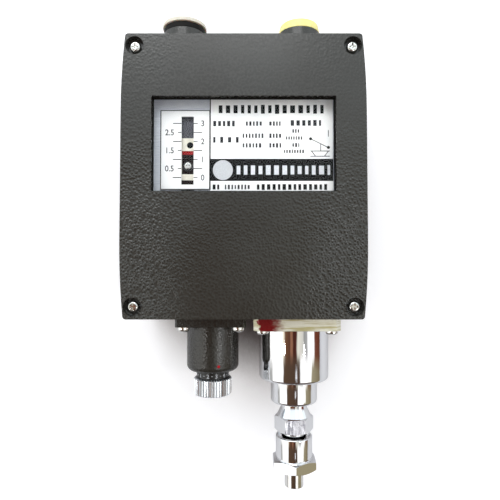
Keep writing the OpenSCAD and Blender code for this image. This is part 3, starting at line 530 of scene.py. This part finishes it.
def text_mesh(words, height_mm, width_factor=1.0):
    """Digits as a flat mesh in the x-z plane, centred on the origin and facing -Y."""
    curve = bpy.data.curves.new("digits", "FONT")
    curve.body = words
    curve.align_x = "CENTER"
    curve.align_y = "CENTER"
    curve.size = height_mm * MM * FONT_SIZE_PER_HEIGHT
    curve.extrude = INK_T / 2 * MM
    curve.resolution_u = 4
    curve.offset = 0.05 * MM
    holder = bpy.data.objects.new("digits", curve)
    bpy.context.scene.collection.objects.link(holder)
    bpy.context.view_layer.update()
    data = bpy.data.meshes.new_from_object(holder.evaluated_get(bpy.context.evaluated_depsgraph_get()))
    bpy.data.objects.remove(holder)
    data.transform(Matrix.Diagonal((width_factor, 1, 1, 1)))
    data.transform(Matrix.Rotation(math.radians(90), 4, "X"))
    low = min(v.co.z for v in data.vertices)
    high = max(v.co.z for v in data.vertices)
    data.transform(Matrix.Translation((0, 0, -(low + high) / 2)))
    return data


# ---------- scale and nameplate ----------

scale_low, scale_high = box_mm("scale_plate")
name_low, name_high = box_mm("nameplate")
pointer_low, pointer_high = box_mm("range_pointer")
SCALE_X = (pointer_low.x + pointer_high.x) / 2
SLOT_HALF = 3.05                # half the width of the slot in the scale plate, mm
SCALE_ZERO = 0.2                # height of the mark 0, mm
SCALE_STEP = 9.0                # distance between whole marks, mm
SCALE_MAX = 3
MARK_T = 0.42
LEFT_REACH = (7.2, 4.8)         # how far whole and half marks reach to the left of the slot's middle, mm
RIGHT_REACH = (5.0, 7.3)        # and to the right
DIGIT_X = (7.5, -8.9)           # where the digits of whole and half marks stand, mm from the slot's middle
DIGIT_H = 2.95
POINTER_T = pointer_high.y - pointer_low.y
INDEX_T = 1.7                   # height of the red index line, mm
INDEX_ABOVE = 0.15              # how far the red line stands above the value it points at
RECESS_TOP = 10.35              # top of the painted shade in the recess round the clamp screw, mm
RECESS_LOW = 2.25
FOOT_RECESS = 4.5               # how far the lower painted recess shade reaches below the pointer, mm
HOLE_Z = 16.8                   # height of the small hole above the red line, mm; the hole's darkness is painted shade
HOLE_R = 1.55


def scale_print():
    """Marks and digits on both sides of the slot, and the border of the scale plate."""
    marks = []
    for half_units in range(SCALE_MAX * 2 + 1):
        z = SCALE_ZERO + SCALE_STEP * half_units / 2
        kind = half_units % 2
        left_end = SCALE_X - LEFT_REACH[kind]
        right_end = SCALE_X + RIGHT_REACH[kind]
        marks.append((left_end, SCALE_X - SLOT_HALF, z - MARK_T / 2, z + MARK_T / 2))
        marks.append((SCALE_X + SLOT_HALF, right_end, z - MARK_T / 2, z + MARK_T / 2))
        digits = text_mesh(f"{half_units / 2:g}", DIGIT_H, 0.9)
        digits.transform(Matrix.Translation(((SCALE_X + DIGIT_X[kind]) * MM, 0, z * MM)))
        printed(f"scale_digits_{half_units}", digits, INK_GREY, scale_low.y, "case")
    printed("scale_marks", rectangles_shape(marks, INK_T), INK_GREY, scale_low.y, "case")
    border = [(scale_low.x, scale_low.x + 0.45, scale_low.z, scale_high.z),
              (scale_low.x, scale_high.x, scale_high.z - 0.35, scale_high.z),
              (scale_low.x, scale_high.x, scale_low.z, scale_low.z + 0.45),
              (scale_high.x - 0.4, scale_high.x, scale_low.z, scale_high.z)]
    printed("scale_border", rectangles_shape(border, INK_T), INK_BLACK, scale_low.y, "case")


def greeked_row(x0, x1, z, height, fill, gap):
    """Plain blocks of uneven width from x0 to x1 at height z, standing for a line of print, all in mm."""
    blocks = []
    x = x0
    while x < x1 - fill * 0.5:
        width = fill * random.uniform(0.7, 1.1)
        top = height * random.uniform(0.82, 1.0)
        blocks.append((x, min(x + width, x1), z - top / 2, z + top / 2))
        x += width + gap
    return blocks


def nameplate_print():
    """Rows of plain blocks in place of print, and the black band with its disc."""
    face_y = name_low.y
    dark = greeked_row(-12.5, 39.5, 34.3, 4.6, 2.2, 1.7)
    printed("title_blocks", rectangles_shape(dark, INK_T), INK_BLACK, face_y, "case")
    grey = greeked_row(-15.2, -4.6, 27.1, 3.0, 1.5, 1.0)
    grey += greeked_row(1.0, 9.6, 27.1, 2.3, 1.0, 0.8)
    grey += greeked_row(12.6, 18.4, 27.1, 2.3, 1.0, 0.7)
    grey += greeked_row(23.2, 38.2, 27.4, 3.0, 1.6, 1.2)
    grey += greeked_row(-15.2, -1.8, 19.0, 3.0, 1.5, 2.4)
    for z in (21.0, 16.2):
        grey += greeked_row(-0.6, 9.6, z, 2.3, 1.0, 0.8)
        grey += greeked_row(12.6, 18.4, z, 2.3, 1.0, 0.7)
    grey += greeked_row(24.0, 27.4, 23.4, 2.0, 0.9, 0.6)
    grey += greeked_row(20.8, 29.4, 19.9, 1.8, 0.8, 0.6)
    grey += greeked_row(24.0, 27.4, 16.4, 2.0, 0.9, 0.6)
    grey += greeked_row(19.8, 30.4, 13.2, 1.8, 0.8, 0.6)
    printed("text_blocks", rectangles_shape(grey, INK_T), INK_GREY, face_y, "case")
    band = [(name_low.x, name_high.x, -1.5, 9.5)]
    printed("black_band", rectangles_shape(band, INK_T), INK_BLACK, face_y, "case")
    printed("band_disc", plate_shape(disc_points(-10.4, 3.9, 4.95), INK_T * 2), DISC_WHITE, face_y, "case")
    light = greeked_row(-3.6, 42.6, 3.9, 4.8, 2.3, 1.7)
    printed("band_blocks", rectangles_shape(light, INK_T * 2), INK_WHITE, face_y, "case")
    low = greeked_row(-15.4, -10.8, -4.5, 2.8, 1.3, 0.8) + greeked_row(6.4, 41.0, -4.5, 3.0, 1.6, 1.1)
    printed("serial_blocks", rectangles_shape(low, INK_T), INK_BLACK, face_y, "case")
    faint = greeked_row(-9.4, 3.0, -4.5, 2.4, 0.9, 0.8)
    printed("faint_blocks", rectangles_shape(faint, INK_T), INK_GREY, face_y, "case")
    seam = [(name_low.x - 0.25, name_low.x + 0.25, scale_low.z, name_high.z)]
    printed("plate_seam", rectangles_shape(seam, INK_T), INK_BLACK, face_y, "case")


def stroke(points, width):
    """A thick line through x-z points as a closed outline."""
    left, right = [], []
    for i, point in enumerate(points):
        before = Vector(points[max(i - 1, 0)])
        after = Vector(points[min(i + 1, len(points) - 1)])
        along = (after - before).normalized()
        side = Vector((-along.y, along.x)) * width / 2
        left.append(tuple(Vector(point) + side))
        right.append(tuple(Vector(point) - side))
    return left + right[::-1]


def contact_symbol():
    """Change-over contact drawn as plain strokes between x-z points in mm."""
    lines = [[(33.6, 19.2), (41.2, 15.4)], [(38.0, 17.0), (38.0, 13.6)], [(41.8, 20.6), (41.8, 23.8)]]
    lines += [[(32.8, 13.4), (42.4, 13.4)], [(32.8, 10.8), (42.4, 10.8)], [(33.4, 13.4), (35.4, 10.8)],
              [(41.8, 13.4), (39.8, 10.8)]]
    for index, line in enumerate(lines):
        bar = plate_shape(stroke(line, 0.35), INK_T)
        printed(f"contact_line_{index}", bar, INK_BLACK, name_low.y, "case")
    for index, (x, z) in enumerate(((33.0, 19.5), (41.8, 15.2))):
        ring = plate_shape(disc_points(x, z, 0.75, 20), INK_T)
        printed(f"contact_dot_{index}", ring, INK_BLACK, name_low.y, "case")


def pointer_print():
    """Red index line, and painted shade in the groove under it, in the small hole above it and in the
    recesses round the clamp screw.
    """
    face_y = pointer_low.y
    back_y = face_y + POINTER_T
    middle = SCALE_ZERO + SCALE_STEP * SCALE_MAX / 2
    left = SCALE_X - SLOT_HALF
    right = SCALE_X + SLOT_HALF
    line = [(left, right, middle - INDEX_T, middle + INDEX_ABOVE)]
    printed("index_line", rectangles_shape(line, INK_T * 2), INK_RED, face_y, "carriage")
    # Painted shade: dark brown sheets in the groove under the line, round the clamp screw and below the
    # pointer.
    groove_shade_rect = [(left, right, RECESS_TOP - 0.05, middle - INDEX_T)]
    printed("index_groove_shade", rectangles_shape(groove_shade_rect, INK_T), RECESS_SHADE_BROWN, face_y, "carriage")
    recess_shade_rects = [(left, right, RECESS_LOW, RECESS_TOP),
              (left, right, pointer_low.z - FOOT_RECESS, pointer_low.z - 0.05)]
    printed("clamp_recess_shade", rectangles_shape(recess_shade_rects, INK_T), RECESS_SHADE_BROWN, back_y, "carriage")
    # Painted shade: a black disc in the small hole.
    hole_shade_disc = plate_shape(disc_points(SCALE_X + 1, HOLE_Z, HOLE_R), INK_T)
    printed("index_hole_shade", hole_shade_disc, INK_BLACK, back_y, "carriage")


scale_print()
nameplate_print()
contact_symbol()
pointer_print()


# ---------- dial numerals and index dot ----------

DIFF_X = -16.9                  # side position of the differential adjuster's axis, mm
DIAL_R = 8.6
DIAL_STEP = 30.0                # degrees between numbers
DOT_ANGLE = 17.0                # degrees from the front to the index dot
DOT_R = 0.8
DOT_RING = 13.65                # distance of the dot from the axis, mm
DOT_Z = -94.6


def wrap(data, radius_mm, turn_degrees):
    """Bends a flat x-z mesh round the differential axis, centred turn_degrees from the front towards +X."""
    turn = math.radians(turn_degrees)
    for vertex in data.vertices:
        angle = turn + vertex.co.x / (radius_mm * MM)
        r = radius_mm * MM - vertex.co.y
        vertex.co.x = DIFF_X * MM + r * math.sin(angle)
        vertex.co.y = PORT_Y * MM - r * math.cos(angle)


def dial_print():
    """Numbers 0 to 10 round the dial, with a dash between neighbours."""
    dial_low, dial_high = box_mm("differential_dial")
    middle = (dial_low.z + dial_high.z) / 2
    for number in range(11):
        digits = text_mesh(str(number), 2.0)
        wrap(digits, DIAL_R, DOT_ANGLE + (number - 3) * DIAL_STEP)
        digits.transform(Matrix.Translation((0, 0, middle * MM)))
        add(f"dial_number_{number}", digits, INK_WHITE, "differential_knob")
        dash = rectangles_shape([(-0.45, 0.45, -0.12, 0.12)], INK_T)
        wrap(dash, DIAL_R, DOT_ANGLE + (number - 2.5) * DIAL_STEP)
        dash.transform(Matrix.Translation((0, 0, middle * MM)))
        add(f"dial_dash_{number}", dash, INK_WHITE, "differential_knob")


def index_dot():
    """Flattened drop of red paint on the barrel."""
    shape = bmesh.new()
    bmesh.ops.create_uvsphere(shape, u_segments=20, v_segments=12, radius=DOT_R * MM)
    turn = math.radians(DOT_ANGLE)
    r = DOT_RING * MM
    flatten = Matrix.Diagonal((1, 0.3, 1, 1))
    x = DIFF_X * MM + r * math.sin(turn)
    y = PORT_Y * MM - r * math.cos(turn)
    place = Matrix.Translation((x, y, DOT_Z * MM))
    shape.transform(place @ Matrix.Rotation(turn, 4, "Z") @ flatten)
    shape.verts.index_update()
    shape.faces.sort(key=lambda face: sum(vert.index ** 2 for vert in face.verts))    # same order each run
    for face in shape.faces:
        face.smooth = True
    add("index_dot", mesh_of(shape, "index_dot"), DOT_RED, "case")


dial_print()
index_dot()


# ---------- springs and bellows ----------

STEPS_PER_TURN = 28


def skin(shape, rings):
    """Joins rings of vertices with smooth faces and closes both ends."""
    around = len(rings[0])
    for first, second in zip(rings, rings[1:]):
        for k in range(around):
            n = (k + 1) % around
            shape.faces.new((first[k], first[n], second[n], second[k])).smooth = True
    shape.faces.new(rings[0][::-1])
    shape.faces.new(rings[-1])


def sweep(points, radius, sides=10):
    """Round wire along points, closed at both ends."""
    shape = bmesh.new()
    rings = []
    for i, point in enumerate(points):
        along = (points[min(i + 1, len(points) - 1)] - points[max(i - 1, 0)]).normalized()
        across = along.cross(Vector((0, 0, 1)))
        if across.length < 1e-4:
            across = Vector((1, 0, 0))
        across.normalize()
        other = along.cross(across).normalized()
        rings.append([shape.verts.new(point + radius * (across * math.cos(2 * math.pi * k / sides)
                     + other * math.sin(2 * math.pi * k / sides))) for k in range(sides)])
    skin(shape, rings)
    bmesh.ops.recalc_face_normals(shape, faces=shape.faces)
    return mesh_of(shape, "wire")


def coil(name, node, wire_mm, turns, body, moving_end):
    """Helical spring with closed end turns, one end moving with body and the other staying on the case."""
    low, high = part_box(node)
    wire = wire_mm * MM
    radius = (high.x - low.x) / 2 - wire / 2
    centre = (low + high) / 2
    z0, z1 = low.z + wire / 2, high.z - wire / 2
    closed = 1.0                # turns that touch their neighbour at each end
    steps = int(turns * STEPS_PER_TURN)
    points = []
    for i in range(steps + 1):
        turn = turns * i / steps
        if turn < closed:
            z = z0 + wire * turn
        elif turn > turns - closed:
            z = z1 - wire * (turns - turn)
        else:
            share = (turn - closed) / (turns - 2 * closed)
            z = z0 + wire * closed + (z1 - z0 - 2 * wire * closed) * share
        angle = 2 * math.pi * turn
        points.append(Vector((centre.x + radius * math.cos(angle), centre.y + radius * math.sin(angle), z)))
    piece = add(name, sweep(points, wire / 2), MATERIALS["spring_wire"], None)
    start = (centre.x, centre.y, high.z)
    end = (centre.x, centre.y, low.z)
    if moving_end == "low":
        start, end = end, start
    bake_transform(piece, body, "case", start, end)
    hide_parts(node)


def bellows_piece():
    """Corrugated thin tube with rounded folds."""
    low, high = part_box("bellows")
    centre = (low + high) / 2
    outer = (high.x - low.x) / 2
    root = outer * 0.75
    folds = 9
    rows = folds * 14
    around = 72
    shape = bmesh.new()
    rings = []
    for i in range(rows + 1):
        wave = 0.5 - 0.5 * math.cos(2 * math.pi * folds * i / rows)
        wave = 0.5 + 0.5 * math.tanh(3.2 * (wave - 0.5)) / math.tanh(1.6)    # steeper flanks
        r = root + (outer - root) * wave
        z = low.z + (high.z - low.z) * i / rows
        rings.append([shape.verts.new((centre.x + r * math.cos(2 * math.pi * k / around),
                     centre.y + r * math.sin(2 * math.pi * k / around), z)) for k in range(around)])
    skin(shape, rings)
    data = mesh_of(shape, "bellows_skin")
    piece = add("bellows_skin", data, MATERIALS["bellows_bronze"], None)
    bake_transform(piece, "push_rod", "case", (centre.x, centre.y, high.z), (centre.x, centre.y, low.z))
    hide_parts("bellows")


coil("main_spring_wire", "main_spring", 2.0, 11.5, "carriage", "high")
coil("differential_spring_wire", "differential_spring", 2.0, 6.5, "differential_seat", "low")
bellows_piece()


# ---------- camera, stage and light ----------

CAMERA_X = 3.0                  # mm
CAMERA_Z = -43.3
CAMERA_DISTANCE = 213           # from the front of the cover, mm
CAMERA_TILT = 2.0               # degrees upwards
LENS = 32.4


def camera():
    """Camera in front of the cover, a little below the middle and tilted upwards."""
    data = bpy.data.cameras.new("camera")
    data.lens = LENS
    data.sensor_width = 36
    data.clip_start = 0.01
    made = bpy.data.objects.new("camera", data)
    bpy.context.scene.collection.objects.link(made)
    cover_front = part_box("cover")[0].y
    made.location = (CAMERA_X * MM, cover_front - CAMERA_DISTANCE * MM, CAMERA_Z * MM)
    made.rotation_euler = (math.radians(90 + CAMERA_TILT), 0, 0)
    bpy.context.scene.camera = made


def scene_ramp(tree, value, stops, low, high):
    """Colour ramp with (position, colour or grey) stops given between low and high."""
    ramp = tree.nodes.new("ShaderNodeValToRGB")
    elements = ramp.color_ramp.elements
    while len(elements) > 1:
        elements.remove(elements[-1])
    for index, (place, color) in enumerate(stops):
        position = (place - low) / (high - low)
        element = elements[0] if index == 0 else elements.new(position)
        element.position = position
        element.color = (*color, 1) if isinstance(color, tuple) else (color, color, color, 1)
    tree.links.new(value, ramp.inputs[0])
    return ramp.outputs[0]


def scene_math(tree, operation, *values):
    """One maths node fed with numbers or sockets."""
    made = tree.nodes.new("ShaderNodeMath")
    made.operation = operation
    for socket, value in zip(made.inputs, values):
        if isinstance(value, (int, float)):
            socket.default_value = value
        else:
            tree.links.new(value, socket)
    return made.outputs[0]


STAGE_SHADE_TINTS = [                 # painted shade: how open the spot on the stage is, and the colour painted there
    (0.0, (0.08, 0.055, 0.05)), (0.3, (0.16, 0.12, 0.11)), (0.55, (0.56, 0.53, 0.54)),
    (0.78, (0.76, 0.76, 0.79)), (1.0, (0.8, 0.8, 0.83))]


def stage():
    """White surface just behind the back face, with painted shade that darkens it near the object and a
    painted glow, seen only by the camera, that is weaker there. Seen from behind it lets the view and the
    light through.
    """
    half = 8                    # metres, as is y
    y = 0.0004
    corners = [(-half, y, -half), (half, y, -half), (half, y, half), (-half, y, half)]
    data = bpy.data.meshes.new("stage")
    data.from_pydata(corners, [], [(0, 1, 2, 3)])
    surface = bpy.data.objects.new("stage", data)
    bpy.context.scene.collection.objects.link(surface)
    material = bpy.data.materials.new("stage_white")
    material.use_nodes = True
    tree = material.node_tree
    shader = tree.nodes["Principled BSDF"]
    shader.inputs["Roughness"].default_value = 0.8
    shader.inputs["Emission Color"].default_value = (1.0, 0.99, 0.98, 1)
    # Painted shade: the stage's colour darkens by ambient occlusion near the object.
    near = tree.nodes.new("ShaderNodeAmbientOcclusion")
    near.inputs["Distance"].default_value = 45 * MM
    tree.links.new(scene_ramp(tree, near.outputs["AO"], STAGE_SHADE_TINTS, 0, 1), shader.inputs["Base Color"])
    clear = tree.nodes.new("ShaderNodeBsdfTransparent")
    mix = tree.nodes.new("ShaderNodeMixShader")
    geometry = tree.nodes.new("ShaderNodeNewGeometry")
    rays = tree.nodes.new("ShaderNodeLightPath")
    # Painted light: a glow for camera rays only, fading where the stage is occluded.
    open_share = tree.nodes.new("ShaderNodeMapRange")
    for key, number in zip(("From Min", "From Max", "To Min", "To Max"), (0.3, 0.75, 0.0, 0.42)):
        open_share.inputs[key].default_value = number
    tree.links.new(near.outputs["AO"], open_share.inputs["Value"])
    glow = scene_math(tree, "MULTIPLY", rays.outputs["Is Camera Ray"], open_share.outputs["Result"])
    tree.links.new(glow, shader.inputs["Emission Strength"])
    either = scene_math(tree, "MAXIMUM", geometry.outputs["Backfacing"], rays.outputs["Is Shadow Ray"])
    tree.links.new(either, mix.inputs[0])
    tree.links.new(shader.outputs[0], mix.inputs[1])
    tree.links.new(clear.outputs[0], mix.inputs[2])
    tree.links.new(mix.outputs[0], tree.nodes["Material Output"].inputs["Surface"])
    data.materials.append(material)


BROWN_DARK = (0.045, 0.014, 0.01)
ROUND_BANDS = [                 # degrees to the right of straight ahead, and the room's colour there
    (-180, 0.9), (-124, (0.85, 0.87, 0.92)), (-119, 0.03), (-103, (0.05, 0.045, 0.045)),
    (-98, 1.0), (-44, (1.0, 0.99, 0.95)), (-38, (0.8, 0.74, 0.6)), (-33, (0.13, 0.06, 0.03)),
    (-18, (0.08, 0.032, 0.02)), (-14, (0.23, 0.11, 0.065)), (-8, (0.19, 0.085, 0.05)), (-6, BROWN_DARK),
    (4, (0.06, 0.018, 0.013)), (8, (0.62, 0.6, 0.52)), (26, (0.5, 0.49, 0.45)), (29, (0.24, 0.24, 0.23)),
    (40, 0.3), (43, 1.0), (64, (0.96, 0.96, 0.94)), (68, (0.13, 0.035, 0.018)),
    (95, (0.08, 0.026, 0.015)), (100, (0.7, 0.74, 0.8)), (180, 0.9)]
BENCH_ROUND_BANDS = [           # the same for what stands on the bench below the object
    (-180, 0.85), (-97, (0.72, 0.74, 0.76)), (-93, (0.28, 0.28, 0.27)), (-82, (0.34, 0.34, 0.33)),
    (-76, 1.0), (-42, 1.0), (-38, (0.075, 0.045, 0.028)), (14, (0.055, 0.034, 0.024)),
    (18, 1.0), (54, (0.97, 0.97, 0.95)), (58, (0.26, 0.23, 0.15)), (88, (0.16, 0.13, 0.08)),
    (93, (0.7, 0.74, 0.8)), (180, 0.9)]
# The next lists say how far something shows, by degrees to the right or by the sine of the height angle.
BENCH_HEIGHTS = [(-1, 1), (-0.3, 1), (-0.24, 0), (1, 0)]
CEILING_HEIGHTS = [(-1, 0), (0.04, 0), (0.26, 0.8), (0.6, 0.9), (1, 0.35)]
FLOOR_HEIGHTS = [(-1, 1), (-0.56, 1), (-0.46, 0), (1, 0)]
SLAT_ZONE = [(-180, 0), (1.0, 0), (1.4, 1), (6.0, 1), (6.4, 0), (180, 0)]
SLAT_HEIGHTS = [(-1, 0), (-0.368, 0), (-0.364, 1), (-0.318, 1), (-0.314, 0), (1, 0)]
SLATS_PER_TURN = 300            # as if the slats went all the way round
CLOTH_ZONE = [(-180, 0), (44, 0), (46, 1), (96, 1), (99, 0), (180, 0)]
CLOTH_HEIGHTS = [(-1, 1), (-0.393, 1), (-0.388, 0), (1, 0)]
SLAT_DARK = (0.16, 0.16, 0.19, 1)
SLAT_LIGHT = (0.95, 0.95, 0.98, 1)
OLIVE_CLOTH = (0.25, 0.22, 0.14, 1)
CEILING_WHITE = (0.86, 0.95, 1.0, 1)
FLOOR_BROWN = (0.07, 0.05, 0.045, 1)


def world_mix(tree, factor, first, second):
    """Mixes two colours, each a constant or a socket."""
    made = tree.nodes.new("ShaderNodeMix")
    made.data_type = "RGBA"
    for socket, value in ((made.inputs[0], factor), (made.inputs[6], first), (made.inputs[7], second)):
        if isinstance(value, tuple):
            socket.default_value = value
        else:
            tree.links.new(value, socket)
    return made.outputs[2]


def studio():
    """Bright room with dark upright bands that lights the object. The camera sees plain white instead."""
    world = bpy.data.worlds.new("studio")
    bpy.context.scene.world = world
    world.use_nodes = True
    tree = world.node_tree
    tree.nodes.clear()
    place = tree.nodes.new("ShaderNodeTexCoord")
    split = tree.nodes.new("ShaderNodeSeparateXYZ")
    tree.links.new(place.outputs["Generated"], split.inputs[0])
    forward = scene_math(tree, "MULTIPLY", split.outputs[1], -1)
    turn = scene_math(tree, "ARCTAN2", split.outputs[0], forward)
    share = scene_math(tree, "MULTIPLY_ADD", turn, 0.5 / math.pi, 0.5)
    height = scene_math(tree, "MULTIPLY_ADD", split.outputs[2], 0.5, 0.5)

    def by_turn(stops):
        return scene_ramp(tree, share, stops, -180, 180)

    def by_height(stops):
        return scene_ramp(tree, height, stops, -1, 1)

    room = world_mix(tree, by_height(BENCH_HEIGHTS), by_turn(ROUND_BANDS), by_turn(BENCH_ROUND_BANDS))
    wave = scene_math(tree, "SINE", scene_math(tree, "MULTIPLY", turn, SLATS_PER_TURN))
    slats = scene_math(tree, "GREATER_THAN", wave, -0.1)    # light slats a little wider than the gaps
    slat_share = scene_math(tree, "MULTIPLY", by_turn(SLAT_ZONE), by_height(SLAT_HEIGHTS))
    room = world_mix(tree, slat_share, room, world_mix(tree, slats, SLAT_DARK, SLAT_LIGHT))
    cloth_share = scene_math(tree, "MULTIPLY", by_turn(CLOTH_ZONE), by_height(CLOTH_HEIGHTS))
    room = world_mix(tree, cloth_share, room, OLIVE_CLOTH)
    room = world_mix(tree, by_height(CEILING_HEIGHTS), room, CEILING_WHITE)
    room = world_mix(tree, by_height(FLOOR_HEIGHTS), room, FLOOR_BROWN)
    shade = tree.nodes.new("ShaderNodeBackground")
    shade.inputs["Strength"].default_value = 1.6
    tree.links.new(room, shade.inputs["Color"])
    plain = tree.nodes.new("ShaderNodeBackground")
    plain.inputs["Color"].default_value = (1.0, 1.0, 1.0, 1)
    rays = tree.nodes.new("ShaderNodeLightPath")
    mix = tree.nodes.new("ShaderNodeMixShader")
    output = tree.nodes.new("ShaderNodeOutputWorld")
    tree.links.new(rays.outputs["Is Camera Ray"], mix.inputs[0])
    tree.links.new(shade.outputs[0], mix.inputs[1])
    tree.links.new(plain.outputs[0], mix.inputs[2])
    tree.links.new(mix.outputs[0], output.inputs[0])


def soft_light(name, place_mm, aim_mm, size_mm, power):
    """Rectangular lamp at place_mm that faces aim_mm, with its power in watts."""
    data = bpy.data.lights.new(name, "AREA")
    data.shape = "RECTANGLE"
    data.size, data.size_y = (s * MM for s in size_mm)
    data.energy = power
    made = bpy.data.objects.new(name, data)
    bpy.context.scene.collection.objects.link(made)
    made.location = Vector(place_mm) * MM
    aim = Vector(aim_mm) * MM - made.location
    made.rotation_euler = aim.to_track_quat("-Z", "Y").to_euler()


camera()
stage()
studio()
soft_light("key", (-100, -470, 440), (0, -30, 20), (460, 300), 1.45)
soft_light("low_right", (235, -420, -190), (30, -50, -50), (26, 26), 0.13)
soft_light("low_left", (-245, -420, -190), (-30, -50, -50), (26, 26), 0.1)
bpy.context.scene.view_settings.view_transform = "Standard"
bpy.context.scene.view_settings.look = "None"
